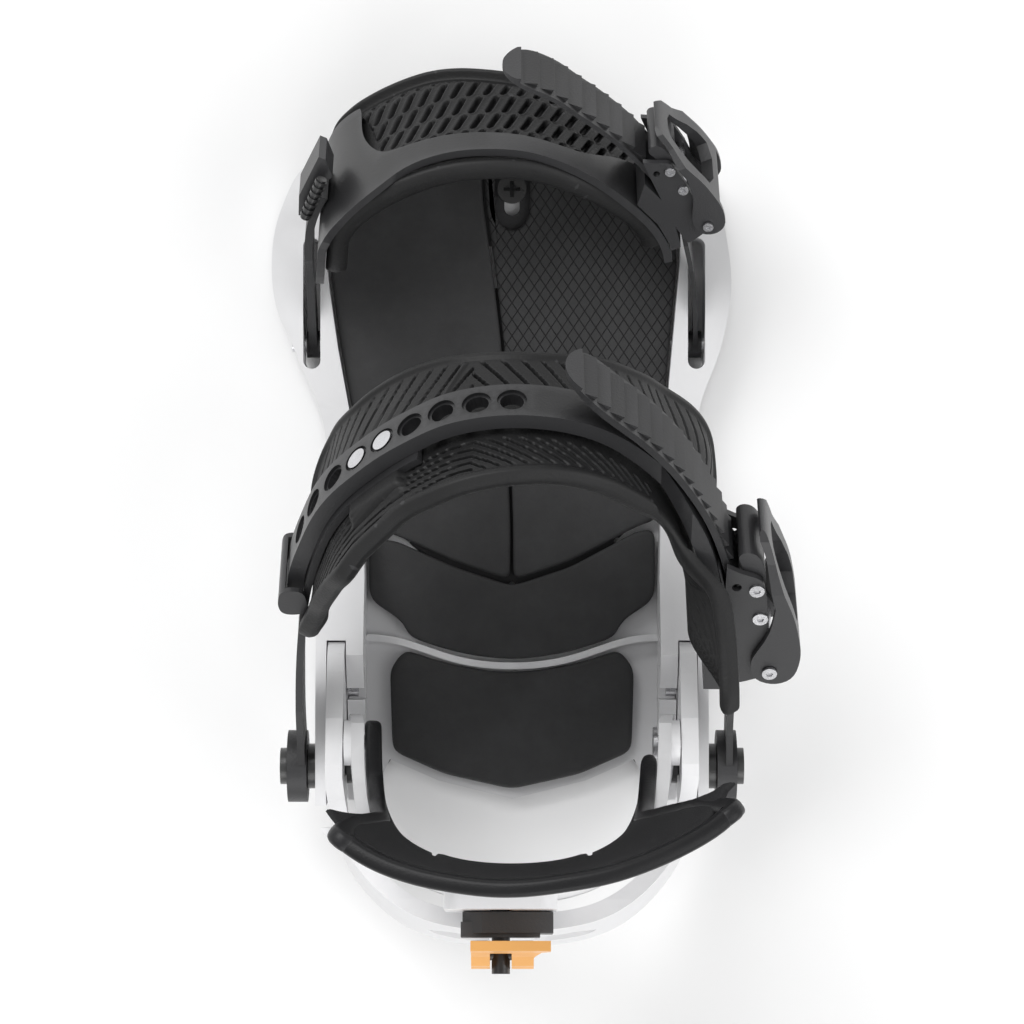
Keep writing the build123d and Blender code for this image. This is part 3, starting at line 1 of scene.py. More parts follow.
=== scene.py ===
import bpy
import bmesh
import math
import numpy as np
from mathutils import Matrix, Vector


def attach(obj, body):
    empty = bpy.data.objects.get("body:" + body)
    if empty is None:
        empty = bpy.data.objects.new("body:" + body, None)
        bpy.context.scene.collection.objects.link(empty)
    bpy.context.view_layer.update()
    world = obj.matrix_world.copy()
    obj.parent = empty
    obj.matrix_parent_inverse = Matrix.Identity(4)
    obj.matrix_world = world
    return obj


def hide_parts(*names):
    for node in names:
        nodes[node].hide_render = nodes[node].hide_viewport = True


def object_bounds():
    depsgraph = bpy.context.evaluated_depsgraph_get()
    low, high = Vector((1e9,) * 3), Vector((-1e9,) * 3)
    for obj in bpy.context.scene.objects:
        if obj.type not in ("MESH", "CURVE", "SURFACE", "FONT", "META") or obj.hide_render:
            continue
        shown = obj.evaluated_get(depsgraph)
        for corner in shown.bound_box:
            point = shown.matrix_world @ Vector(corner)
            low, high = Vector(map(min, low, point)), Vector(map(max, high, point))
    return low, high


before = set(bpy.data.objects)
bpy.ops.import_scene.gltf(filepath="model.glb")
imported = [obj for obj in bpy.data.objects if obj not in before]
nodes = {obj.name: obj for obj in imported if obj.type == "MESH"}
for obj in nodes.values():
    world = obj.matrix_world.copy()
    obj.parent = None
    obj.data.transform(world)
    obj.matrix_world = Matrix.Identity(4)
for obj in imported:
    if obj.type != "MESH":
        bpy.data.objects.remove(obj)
cad_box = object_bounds()
MM = 0.001


# ---- materials ----------------------------------------------------------------------------------
def new_material(name, color, rough, metallic=0.0, spec=0.5):
    mat = bpy.data.materials.new(name)
    mat.use_nodes = True
    bsdf = mat.node_tree.nodes["Principled BSDF"]
    bsdf.inputs["Base Color"].default_value = (*color, 1)
    bsdf.inputs["Roughness"].default_value = rough
    bsdf.inputs["Metallic"].default_value = metallic
    bsdf.inputs["Specular IOR Level"].default_value = spec
    return mat, mat.node_tree.nodes, mat.node_tree.links, bsdf


def coords(nt, links, scale=(1, 1, 1), turn=(0, 0, 0)):
    tc = nt.new("ShaderNodeTexCoord")
    mp = nt.new("ShaderNodeMapping")
    mp.inputs["Scale"].default_value = scale
    mp.inputs["Rotation"].default_value = turn
    links.new(tc.outputs["Object"], mp.inputs["Vector"])
    return mp.outputs["Vector"]


def noise(nt, links, vec, scale, detail=4.0, rough=0.55):
    n = nt.new("ShaderNodeTexNoise")
    n.inputs["Scale"].default_value = scale
    n.inputs["Detail"].default_value = detail
    n.inputs["Roughness"].default_value = rough
    links.new(vec, n.inputs["Vector"])
    return n.outputs["Fac"]


def ramp(nt, links, fac, stops):
    r = nt.new("ShaderNodeValToRGB")
    while len(r.color_ramp.elements) < len(stops):
        r.color_ramp.elements.new(0.5)
    for el, (pos, col) in zip(r.color_ramp.elements, stops):
        el.position = pos
        el.color = (*col, 1) if len(col) == 3 else col
    links.new(fac, r.inputs["Fac"])
    return r.outputs["Color"]


def math_node(nt, links, op, a, b):
    m = nt.new("ShaderNodeMath")
    m.operation = op
    for sock, val in zip(m.inputs, (a, b)):
        if isinstance(val, (int, float)):
            sock.default_value = val
        else:
            links.new(val, sock)
    return m.outputs[0]


def bump(nt, links, bsdf, heights):
    """heights: list of (socket, strength, distance), chained."""
    normal = None
    for sock, strength, dist in heights:
        b = nt.new("ShaderNodeBump")
        b.inputs["Strength"].default_value = strength
        b.inputs["Distance"].default_value = dist
        links.new(sock, b.inputs["Height"])
        if normal is not None:
            links.new(normal, b.inputs["Normal"])
        normal = b.outputs["Normal"]
    links.new(normal, bsdf.inputs["Normal"])


def plastic(name, color, rough, grain, grain_scale, vary=0.12, wear=None, spec=0.5):
    """Moulded plastic or rubber: fine grain, cloudy colour and roughness, paler worn edges."""
    mat, nt, links, bsdf = new_material(name, color, rough, spec=spec)
    vec = coords(nt, links)
    fine = noise(nt, links, vec, grain_scale, 3.0, 0.6)
    cloud = noise(nt, links, vec, 26.0, 5.0, 0.6)
    lo = tuple(c * (1 - vary) for c in color)
    hi = tuple(min(c * (1 + vary), 1.0) for c in color)
    col = ramp(nt, links, cloud, [(0.36, lo), (0.64, hi)])
    if wear:
        geo = nt.new("ShaderNodeNewGeometry")
        edge = ramp(nt, links, geo.outputs["Pointiness"], [(0.525, (0, 0, 0)), (0.60, (1, 1, 1))])
        mix = nt.new("ShaderNodeMix")
        mix.data_type = "RGBA"
        links.new(edge, mix.inputs["Factor"])
        links.new(col, mix.inputs[6])
        mix.inputs[7].default_value = (*wear, 1)
        col = mix.outputs[2]
    links.new(col, bsdf.inputs["Base Color"])
    r = nt.new("ShaderNodeMapRange")
    r.inputs["To Min"].default_value = max(rough - 0.09, 0.05)
    r.inputs["To Max"].default_value = min(rough + 0.09, 1.0)
    links.new(cloud, r.inputs["Value"])
    links.new(r.outputs["Result"], bsdf.inputs["Roughness"])
    bump(nt, links, bsdf, [(fine, grain, 0.0004)])
    return mat


def brushed(name, color, rough):
    mat, nt, links, bsdf = new_material(name, color, rough, metallic=1.0)
    vec = coords(nt, links, (1, 1, 14))
    streak = noise(nt, links, vec, 420.0, 3.0)
    cloud = noise(nt, links, coords(nt, links), 90.0, 3.0)
    dull = tuple(c * 0.8 for c in color)
    links.new(ramp(nt, links, cloud, [(0.3, dull), (0.7, color)]), bsdf.inputs["Base Color"])
    r = nt.new("ShaderNodeMapRange")
    r.inputs["To Min"].default_value = rough - 0.08
    r.inputs["To Max"].default_value = rough + 0.14
    links.new(streak, r.inputs["Value"])
    links.new(r.outputs["Result"], bsdf.inputs["Roughness"])
    bump(nt, links, bsdf, [(streak, 0.15, 0.0003)])
    return mat


WHITE = plastic("white_nylon", (0.77, 0.77, 0.78), 0.42, 0.10, 900.0, 0.02, (0.82, 0.82, 0.83))
SHELL_WHITE = plastic("highback_white", (0.78, 0.78, 0.79), 0.36,
                      0.08, 900.0, 0.02, (0.83, 0.83, 0.84))
BLACK = plastic("strap_black", (0.013, 0.013, 0.014), 0.46,
                0.25, 1500.0, 0.2, (0.030, 0.030, 0.032))
EXO = plastic("exo_black", (0.016, 0.016, 0.017), 0.34,
              0.14, 1300.0, 0.18, (0.036, 0.036, 0.038), spec=0.45)
PADDING = plastic("pad_rubber", (0.013, 0.013, 0.0135), 0.52,
                  0.35, 1100.0, 0.2, (0.040, 0.040, 0.042), spec=0.35)
LEVER = plastic("lever_black", (0.012, 0.012, 0.013), 0.40, 0.2, 1500.0, 0.2, (0.034, 0.034, 0.036))
DARK = plastic("dark_nylon", (0.010, 0.010, 0.011), 0.55, 0.3, 900.0, 0.2, (0.026, 0.026, 0.028))
LEAN = plastic("lean_black", (0.024, 0.024, 0.025), 0.52, 0.25, 1200.0, 0.2, (0.05, 0.05, 0.052))
FOAM = plastic("liner_foam", (0.010, 0.010, 0.011), 0.60, 0.5, 1600.0, 0.22, spec=0.3)
RIM = plastic("rim_rubber", (0.008, 0.008, 0.009), 0.40,
              0.25, 1500.0, 0.2, (0.026, 0.026, 0.028), spec=0.3)
EVA = plastic("cushion_eva", (0.030, 0.030, 0.032), 0.85, 0.6, 1400.0, 0.25)
ORANGE = plastic("lever_orange", (0.74, 0.31, 0.055), 0.38, 0.12, 1200.0, 0.06, (0.84, 0.42, 0.12))
STEEL = brushed("steel", (0.70, 0.70, 0.72), 0.26)
SCREW = plastic("black_screw", (0.012, 0.012, 0.013), 0.30, 0.15, 1600.0, 0.2, (0.05, 0.05, 0.05), spec=0.6)


GROOVE_TURN = math.radians(34)   # the diamond grooves run this far either side of the foot's line
GROOVE_SCALE = 104.0
HEEL_LINE = -0.012               # metres: no grooves behind this line


def footbed_material(name, grooves):
    """Foam footbed: mottled charcoal; the right half carries a diamond of fine grooves, with painted shade
    inside them.
    """
    mat, nt, links, bsdf = new_material(name, (0.028, 0.028, 0.029), 0.8)
    vec = coords(nt, links)
    cloud = noise(nt, links, vec, 34.0, 8.0, 0.65)
    speck = noise(nt, links, vec, 1500.0, 2.0, 0.7)
    col = ramp(nt, links, cloud, [(0.30, (0.030, 0.030, 0.031)), (0.55, (0.041, 0.041, 0.042)),
                                  (0.75, (0.052, 0.052, 0.054))])
    heights = [(speck, 0.4, 0.0004), (cloud, 0.25, 0.001)]
    if grooves:
        lines = None
        for turn in (GROOVE_TURN, -GROOVE_TURN):
            wv = nt.new("ShaderNodeTexWave")
            wv.wave_type = "BANDS"
            wv.bands_direction = "X"
            wv.inputs["Scale"].default_value = GROOVE_SCALE
            links.new(coords(nt, links, (1, 1, 1), (0, 0, turn)), wv.inputs["Vector"])
            line = ramp(nt, links, wv.outputs["Fac"], [(0.0, (0, 0, 0)), (0.035, (1, 1, 1))])
            lines = line if lines is None else math_node(nt, links, "MULTIPLY", lines, line)
        # the grooves stop ahead of the heel half
        place = nt.new("ShaderNodeSeparateXYZ")
        links.new(vec, place.inputs[0])
        heel = math_node(nt, links, "LESS_THAN", place.outputs[1], HEEL_LINE)
        lines = math_node(nt, links, "MAXIMUM", lines, heel)
        heights.insert(0, (lines, 0.9, 0.0009))
        # painted shade: the groove lines are coloured darker (0.010) than the foam around them
        mix = nt.new("ShaderNodeMix")
        mix.data_type = "RGBA"
        links.new(lines, mix.inputs["Factor"])
        mix.inputs[6].default_value = (0.010, 0.010, 0.011, 1)
        links.new(col, mix.inputs[7])
        col = mix.outputs[2]
    links.new(col, bsdf.inputs["Base Color"])
    bump(nt, links, bsdf, heights)
    return mat


FOOTBED = footbed_material("footbed_plain", False)
FOOTBED_GRID = footbed_material("footbed_grooved", True)

FINISH = {
    "baseplate": WHITE, "heelcup": WHITE, "highback_shell": SHELL_WHITE,
    "base_cushions": EVA, "mounting_disc": DARK, "toe_ramp": DARK,
    "footbed_front_left": FOOTBED, "footbed_front_right": FOOTBED_GRID,
    "footbed_heel_front": FOOTBED, "footbed_heel_rear": FOOTBED,
    "toe_ramp_screw": SCREW, "toe_pivot_pins": STEEL, "ankle_bolts": SCREW, "heelcup_screws": STEEL,
    "highback_liner": FOAM, "highback_rim": FOAM, "highback_pins": STEEL,
    "lean_block": LEAN, "lean_bolt": SCREW, "lean_lever": ORANGE, "lean_pin": SCREW,
    "ankle_connector": BLACK, "ankle_exoframe": EXO, "ankle_keeper": LEVER, "ankle_studs": STEEL,
    "ankle_pad": PADDING,
    "ankle_buckle_frame": LEVER, "ankle_buckle_rivets": STEEL, "ankle_lever": LEVER, "ankle_pawl": LEVER,
    "ankle_pawl_spring": STEEL, "ankle_ladder": BLACK,
    "toe_connector": BLACK, "toe_exoframe": EXO, "toe_pad": PADDING, "toe_adjuster": LEVER,
    "toe_adjuster_screw": SCREW, "toe_buckle_frame": LEVER, "toe_buckle_rivets": STEEL,
    "toe_lever": LEVER, "toe_pawl": LEVER, "toe_pawl_spring": STEEL, "toe_ladder": BLACK,
}
# moulded edges: bevel width in millimetres for the CAD nodes that stay
SOFTEN = {
    "baseplate": 0.9, "heelcup": 1.0, "highback_shell": 1.0, "ankle_exoframe": 1.0, "toe_exoframe": 0.7,
    "ankle_connector": 0.5, "toe_connector": 0.6, "ankle_ladder": 0.35, "toe_ladder": 0.3,
    "ankle_lever": 0.8, "toe_lever": 0.6, "ankle_pawl": 0.6, "toe_pawl": 0.4, "ankle_buckle_frame": 0.4,
    "toe_buckle_frame": 0.35, "toe_adjuster": 0.9, "ankle_keeper": 0.9, "lean_block": 0.8,
    "lean_lever": 0.6, "lean_bolt": 0.3,
    "ankle_bolts": 0.5, "ankle_studs": 0.4, "ankle_buckle_rivets": 0.3, "toe_buckle_rivets": 0.22,
    "toe_ramp_screw": 0.35, "highback_pins": 0.4, "toe_ramp": 0.6, "mounting_disc": 0.4,
}


def soften(ob, width_mm, angle=32.0):
    bev = ob.modifiers.new("edges", "BEVEL")
    bev.width = width_mm * MM
    bev.segments = 2
    bev.limit_method = "ANGLE"
    bev.angle_limit = math.radians(angle)
    bev.harden_normals = True
    bev.use_clamp_overlap = True


def shade_by_angle(ob, angle=35.0):
    for poly in ob.data.polygons:
        poly.use_smooth = True
    ob.data.set_sharp_from_angle(angle=math.radians(angle))


for name, ob in nodes.items():
    ob.data.materials.clear()
    ob.data.materials.append(FINISH[name])
    shade_by_angle(ob)
    if name in SOFTEN:
        soften(ob, SOFTEN[name])


# ---- shared mesh helpers ------------------------------------------------------------------------
def curve(points, steps=24):
    """Smooth curve through the points, as an array of samples."""
    pts = np.array(points, float)
    ext = np.vstack([2 * pts[0] - pts[1], pts, 2 * pts[-1] - pts[-2]])
    t = np.linspace(0, 1, steps, endpoint=False)[:, None]
    rows = []
    for i in range(len(pts) - 1):
        a, b, c, d = ext[i:i + 4]
        rows.append(0.5 * (2 * b + (c - a) * t + (2 * a - 5 * b + 4 * c - d) * t * t
                           + (3 * b - a - 3 * c + d) * t ** 3))
    rows.append(pts[-1:])
    return np.vstack(rows)


class Arch:
    """A strap's centre line, measured in millimetres of arc from the middle of the foot."""

    def __init__(self, points, origin, tilt):
        self.xy = curve(points)
        self.origin = origin
        self.tilt = math.radians(tilt)
        step = np.diff(self.xy, axis=0)
        self.s = np.concatenate([[0], np.cumsum(np.hypot(step[:, 0], step[:, 1]))])
        top = np.argmin(np.abs(self.xy[:, 0]) + 1000 * (self.xy[:, 1] < self.xy[:, 1].max() - 25))
        self.s -= self.s[top]
        grad = np.gradient(self.xy, axis=0)
        grad /= np.linalg.norm(grad, axis=1)[:, None]
        self.normal = np.stack([-grad[:, 1], grad[:, 0]], 1)

    def place(self, s, w, out):
        """World metres of points at arc s, across w and outward offset, all in millimetres."""
        x = np.interp(s, self.s, self.xy[:, 0]) + out * np.interp(s, self.s, self.normal[:, 0])
        run = np.interp(s, self.s, self.xy[:, 1]) + out * np.interp(s, self.s, self.normal[:, 1])
        return self.flat(x, run, w)

    def flat(self, x, run, w):
        c, n = math.cos(self.tilt), math.sin(self.tilt)
        y = self.origin[0] + run * c - w * n
        z = self.origin[1] + run * n + w * c
        return np.stack([x, y, z], -1) * MM


def smooth_step(x, lo, hi):
    t = np.clip((x - lo) / (hi - lo), 0, 1)
    return t * t * (3 - 2 * t)


def line_gap(phase, half):
    """1 on the lines at whole numbers of phase, falling to 0 half a line width away."""
    d = np.abs(phase - np.round(phase))
    return 1 - smooth_step(d, half * 0.55, half)


def clustered(n, share=0.55):
    """0..1 samples, closer together at both ends."""
    t = np.linspace(0, 1, n)
    return share * (0.5 - 0.5 * np.cos(np.pi * t)) + (1 - share) * t


def round_off(dist, radius):
    """Half-thickness factor near an edge: a quarter round of the given radius."""
    d = np.clip(dist / radius, 0, 1)
    return np.sqrt(np.clip(1 - (1 - d) ** 2, 0.0004, 1))


def mesh_object(name, verts, faces, mat, body, replaced, angle=50.0):
    mesh = bpy.data.meshes.new(name)
    mesh.from_pydata([tuple(v) for v in verts], [], faces)
    mesh.update()
    bm = bmesh.new()
    bm.from_mesh(mesh)
    bmesh.ops.recalc_face_normals(bm, faces=bm.faces)
    bm.to_mesh(mesh)
    bm.free()
    ob = bpy.data.objects.new(name, mesh)
    bpy.context.collection.objects.link(ob)
    mesh.materials.append(mat)
    shade_by_angle(ob, angle)
    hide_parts(*replaced)
    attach(ob, body)
    return ob


def closed_sheet(front, back):
    """Vertices and faces of a closed pad between two grids of the same size."""
    nu, nv = front.shape[:2]
    verts = np.vstack([front.reshape(-1, 3), back.reshape(-1, 3)])
    count = nu * nv
    faces = []
    for i in range(nu - 1):
        for j in range(nv - 1):
            a, b, c, d = i * nv + j, (i + 1) * nv + j, (i + 1) * nv + j + 1, i * nv + j + 1
            faces.append((a, b, c, d))
            faces.append((a + count, d + count, c + count, b + count))
    ring = [i * nv for i in range(nu)] + [(nu - 1) * nv + j for j in range(1, nv)]
    ring += [i * nv + nv - 1 for i in range(nu - 2, -1, -1)] + [j for j in range(nv - 2, 0, -1)]
    for a, b in zip(ring, ring[1:] + ring[:1]):
        faces.append((a, a + count, b + count, b))
    return verts, faces


def detail(full, rough):
    """Grid size: always full; rough is not used."""
    return full


# ---- ankle pad ----------------------------------------------------------------------------------
ANKLE = Arch([(-67.4, 61), (-66.9, 70), (-66.3, 77), (-65.7, 84), (-64.6, 92), (-61.6, 101.5),
              (-57.5, 112), (-51.5, 121.6), (-44.5, 129.1), (-36.9, 136), (-28.8, 141.8), (-19.8, 147),
              (-9.9, 150), (0, 151.1), (11, 150.3), (21.5, 147.6), (31, 142.6), (38.8, 136), (45.3, 129),
              (50.8, 120.5), (55.5, 110.5), (58.6, 100.5), (60.5, 90), (61.4, 78), (61.7, 62),
              (61.5, 48)], (-106.3, 36.0), 42.0)
# front and rear edges of the pad: arc position, distance across
ANKLE_FRONT = [(-114.5, 9), (-112.5, 0), (-109, -11), (-104, -24), (-97, -36.5), (-89, -44), (-80, -45),
               (-63, -41), (-51, -40.5), (-34, -38), (-12, -33), (11, -32.5), (31, -37.5), (47, -43),
               (65, -50), (80, -53), (92, -51), (102, -44), (110, -33), (115, -20)]
ANKLE_REAR = [(-114.5, 14.5), (-111, 17), (-106, 18.5), (-100, 20), (-90, 24), (-80, 28), (-69, 32),
              (-58, 30), (-48, 28), (-39, 26), (-22, 26.5), (0, 25), (12, 23.5), (29, 21.5), (50, 17.5),
              (64, 13.5), (76, 16), (87, 22), (96, 30), (104, 38), (110, 44), (115, 47)]


def edge_line(points, s):
    line = curve(points, 12)
    return np.interp(s, line[:, 0], line[:, 1])


ANKLE_ENDS = (-114.5, 115.0)     # arc positions of the pad's two ends
ANKLE_TOP = -5.2                 # outer face, just under the exoframe
ANKLE_HALF = 2.7                 # half thickness


def build_ankle_pad():
    nu, nv = detail(560, 120), detail(150, 40)
    s = ANKLE_ENDS[0] + (ANKLE_ENDS[1] - ANKLE_ENDS[0]) * clustered(nu, 0.12)
    v = clustered(nv, 0.35)
    front, rear = edge_line(ANKLE_FRONT, s), edge_line(ANKLE_REAR, s)
    S = np.repeat(s[:, None], nv, 1)
    W = front[:, None] + (rear - front)[:, None] * v[None, :]
    near_front, near_rear = W - front[:, None], rear[:, None] - W
    ends = np.minimum(S - ANKLE_ENDS[0], ANKLE_ENDS[1] - S) * 1.6
    d = np.minimum(np.minimum(near_front, near_rear), ends)
    # the edges turn outward beside the buckle and at the lower left end
    flare = 7.5 * smooth_step(S, 58, 92) * (1 - smooth_step(W, -44, -18))
    turn_out = np.interp(S, [50, 64, 75, 85, 92, 100, 110], [0, 0.8, 3.2, 7.0, 8.8, 9.4, 9.6])
    flare += turn_out * smooth_step(W, 11, np.maximum(rear[:, None] - 4, 22))
    flare += 3.2 * (1 - smooth_step(S, -112, -80)) * (1 - smooth_step(W, -38, -16))
    flare += 3.0 * (1 - smooth_step(S, -114, -96)) * smooth_step(W, 6, 16)
    # thin beside the buckle, with a thick rolled rear edge on the flank
    full = ANKLE_HALF - 1.25 * smooth_step(S, 48, 72)
    rolled = smooth_step(S, 60, 84) * (1 - smooth_step(near_rear, 3.6, 6.0))
    full = full + 1.1 * rolled
    mid = ANKLE_TOP - full + flare + rolled
    half = full * round_off(d, 2.6)
    inside = smooth_step(d, 4.6, 6.0)
    relief = 0.9 * smooth_step(d, 0.4, 1.6) * (1 - smooth_step(d, 3.0, 4.6))
    # ribs: herringbone slits in front of the exoframe, a finer fan behind it
    left = 1 - smooth_step(S, -13.5, -12.5)
    ahead = 1 - smooth_step(W, 0, 0.5)
    slit_fl = line_gap((S + 0.85 * W) / 6.9, 0.115)
    slit_fr = line_gap((S - 0.75 * W) / 6.6 + 0.4, 0.115)
    slit_rl = line_gap((W + 0.17 * S - 0.0016 * (S + 60) ** 2) / 2.9, 0.17)
    slit_rr = line_gap((S - 1.6 * W) / 5.2, 0.14)
    slits = ahead * (left * slit_fl + (1 - left) * slit_fr)
    slits += (1 - ahead) * (left * slit_rl + (1 - left) * slit_rr)
    notch = 0.5 + 0.5 * np.sin(S * 2.1) * np.sin(W * 2.3)
    relief -= inside * slits * (1.35 + 0.25 * notch)
    # divider between the two rib directions
    relief += inside * ahead * 0.7 * (1 - smooth_step(np.abs(S + 0.65 * W + 34), 0.5, 1.3)) * (S < 3)
    # smooth cover of the tool pocket behind the exoframe
    cover = (smooth_step(S, -62, -58.5) * (1 - smooth_step(S, -39.5, -36))
             * smooth_step(W, 8.5, 10) * (1 - smooth_step(W, 14.5, 19)))
    relief = relief * (1 - cover) + 2.6 * cover
    # flat seats under the exoframe and the buckle
    band = np.where(S > 52, 14.0, 7.6)
    under = 1 - smooth_step(np.abs(W), band, band + 1.0)
    relief *= 1 - under
    outer = ANKLE.place(S, W, mid + half + np.minimum(relief, 2.6))
    # fine ribs on the inside of the flank, along its rolled edge
    fine = line_gap(near_rear / 1.25, 0.3) * smooth_step(S, 66, 80)
    fine *= smooth_step(near_rear, 6.0, 7.0) * (1 - smooth_step(near_rear, 24, 28))
    inner = ANKLE.place(S, W, mid - half + 0.6 * fine)
    verts, faces = closed_sheet(outer, inner)
    return mesh_object("soft_ankle_pad", verts, faces, PADDING, "ankle_strap", ["ankle_pad"])


# ---- toe pad ------------------------------------------------------------------------------------
TOE = Arch([(-60.9, 39), (-60.5, 45), (-60, 50), (-59.4, 56), (-56.7, 62.5), (-51.5, 68.5),
            (-44.5, 73.5), (-35.5, 78.4), (-26.5, 82), (-17, 84.3), (-6, 85), (3, 84.3), (10.5, 82.3),
            (18, 79), (28.3, 72.6), (38, 63.8), (44.5, 56.2), (48.3, 49), (49.6, 43)], (30.0, 8.0),
            40.0)
TOE_FRONT = [(-86, 6), (-83, -6), (-79, -17), (-73, -29), (-65, -37), (-56, -38), (-46, -38.5),
             (-36, -38.5), (-26, -38), (-16, -36.3), (-1, -33.5), (14, -32), (28, -31), (40, -28.5),
             (50, -23), (59, -15), (66, -7), (68, -1)]
TOE_REAR = [(-86, 15), (-82, 18), (-74, 20), (-64, 20.6), (-53, 20), (-42, 18.8), (-32, 18.2),
            (-18, 17.8), (-6, 17.3), (6, 16.4), (21, 15), (36, 12.4), (50, 9), (60, 7), (68, 5.5)]


TOE_ENDS = (-86.0, 68.0)         # arc positions of the pad's two ends
TOE_TOP = -1.55                  # outer face, just under the exoframe
TOE_HALF = 3.4                   # half thickness at the edges
ROW_GAP = 8.6                    # pill holes: distance between rows
PILL_GAP = 5.5                   # and along a row
PILL_REACH = 2.9                 # half length of a pill's straight part


def build_toe_pad():
    nu, nv = detail(520, 120), detail(170, 44)
    s = TOE_ENDS[0] + (TOE_ENDS[1] - TOE_ENDS[0]) * clustered(nu, 0.15)
    v = clustered(nv, 0.45)
    front, rear = edge_line(TOE_FRONT, s), edge_line(TOE_REAR, s)
    S = np.repeat(s[:, None], nv, 1)
    W = front[:, None] + (rear - front)[:, None] * v[None, :]
    near_front, near_rear = W - front[:, None], rear[:, None] - W
    ends = np.minimum(S - TOE_ENDS[0], TOE_ENDS[1] - S) * 1.6
    d = np.minimum(np.minimum(near_front, near_rear), ends)
    half_t = TOE_HALF - 1.2 * smooth_step(near_front, 0, 16) * smooth_step(near_rear, 2, 6)
    half = half_t * round_off(d, 1.8)
    mid = TOE_TOP - TOE_HALF
    # rolled front lip with a groove behind it
    relief = 1.7 * smooth_step(near_front, 0.2, 1.4) * (1 - smooth_step(near_front, 2.4, 3.6))
    relief -= 0.9 * smooth_step(near_front, 3.2, 4.2) * (1 - smooth_step(near_front, 5.6, 7.0))
    # the cap behind it bellies slightly towards the toe
    relief += 1.0 * np.exp(-((near_front - 12) / 7.0) ** 2)
    # staggered pill perforations
    row = np.round((W + 8.0) / ROW_GAP)
    across = W + 8.0 - ROW_GAP * row
    x = S - 0.6 * row + 0.42 * across
    along = x - PILL_GAP * np.round(x / PILL_GAP)
    dist = np.hypot(along * 0.92, np.maximum(np.abs(across) - PILL_REACH, 0))
    pill = 1 - smooth_step(dist, 0.55, 1.05)
    field = smooth_step(near_front, 6.0, 7.5) * smooth_step(near_rear, 3.0, 4.0) * smooth_step(ends, 10, 14)
    relief -= 2.4 * pill * field
    relief += 0.2 * (1 - smooth_step(np.abs(dist - 1.5), 0.15, 0.4)) * field
    # dark groove between the exoframe bar and the rear band
    band = 1 - smooth_step(near_rear, 2.4, 3.2)
    relief = relief * (1 - band) + 0.2 * band
    # seat under the exoframe
    bar_lo = np.interp(S, [-86, -58, -50, -44, -36, 0, 22, 36, 46],
                       [-30, -32, -26, -4, 3, 4, 4, -6, -13])
    bar_hi = np.interp(S, [-86, -56, -40, 0, 36, 68], [27, 24, 15, 13.4, 14.6, 14])
    under = smooth_step(W, bar_lo - 0.8, bar_lo) * (1 - smooth_step(W, bar_hi, bar_hi + 0.8))
    relief = relief * (1 - under)
    top = np.minimum(mid + half + relief, mid + TOE_HALF + 2.0)
    outer = TOE.place(S, W, np.where(under > 0.02, np.minimum(top, TOE_TOP), top))
    inner = TOE.place(S, W, mid - half)
    verts, faces = closed_sheet(outer, inner)
    return mesh_object("soft_toe_pad", verts, faces, PADDING, "toe_strap", ["toe_pad"])


# ---- highback liner and its rolled edge ---------------------------------------------------------
BACK = [(44.0, [(-51.2, -80), (-51.2, -108), (-46.5, -126), (-38, -138), (-21, -147.6), (0, -150.4),
                (21, -147.6), (38, -138), (46.5, -126), (51.2, -108), (51.2, -80)]),
        (120.0, [(-50.4, -80), (-50, -102), (-46.4, -118), (-36, -130), (-20, -137.4), (0, -139.6),
                 (20, -137.4), (36, -130), (46.4, -118), (50, -102), (50.4, -80)]),
        (214.0, [(-80, -98), (-62, -111.8), (-44, -121.6), (-28.7, -126), (-12, -128.6), (0.5, -129.2),
                 (14, -127.8), (29, -125), (47, -119), (67, -110.5), (90, -97)])]
BACK_LINES = [curve(points, 24) for _, points in BACK]


def back_point(u, z, out):
    """Point on the highback at curve position u (0..1), height z, offset forward, in millimetres."""
    z0, z1, z2 = (level for level, _ in BACK)
    weights = ((z - z1) * (z - z2) / ((z0 - z1) * (z0 - z2)), (z - z0) * (z - z2) / ((z1 - z0) * (z1 - z2)),
               (z - z0) * (z - z1) / ((z2 - z0) * (z2 - z1)))
    t = np.linspace(0, 1, len(BACK_LINES[0]))
    x = sum(wt * np.interp(u, t, line[:, 0]) for wt, line in zip(weights, BACK_LINES))
    y = sum(wt * np.interp(u, t, line[:, 1]) for wt, line in zip(weights, BACK_LINES))
    e = 0.002
    xa = sum(wt * (np.interp(u + e, t, line[:, 0]) - np.interp(u - e, t, line[:, 0]))
             for wt, line in zip(weights, BACK_LINES))
    ya = sum(wt * (np.interp(u + e, t, line[:, 1]) - np.interp(u - e, t, line[:, 1]))
             for wt, line in zip(weights, BACK_LINES))
    run = np.hypot(xa, ya)
    return x - ya / run * out, y + xa / run * out


LINER_FOOT = 66.0                # lower edge of the liner
LINER_RISE = 138.0
SIDE_Z = [43, 52, 58.5, 68, 84, 104, 126, 150, 172, 189, 206]
SIDE_LEFT = [-90, -91.5, -97, -107, -115, -118.5, -118, -116, -114, -112.8, -111.5]
SIDE_RIGHT = [-90, -91.5, -97, -107, -115, -118.5, -118, -115, -110.5, -106.5, -103.5]


def side_y(z, side):
    """Front edge of the highback seen from the side."""
    return np.interp(z, SIDE_Z, SIDE_RIGHT if side > 0 else SIDE_LEFT)


def crest_z(x):
    """Top edge of the highback seen from behind."""
    line = curve([(-66, 180), (-55, 189.5), (-38, 196), (0, 206), (30, 207.5), (55, 201), (66.5, 191)], 12)
    return np.interp(x, line[:, 0], line[:, 1])


def edge_u(z, side, behind=0.0):
    """Curve position where the highback's surface meets its front edge at height z."""
    u = np.linspace(0.5, 1.0, 240) if side > 0 else np.linspace(0.5, 0.0, 240)
    _, y = back_point(u, np.full_like(u, z), 0.0)
    return float(np.interp(side_y(z, side) - behind, y, u))


def shell_t(z):
    return 4.0 - 1.6 * smooth_step(z, 120, 214)


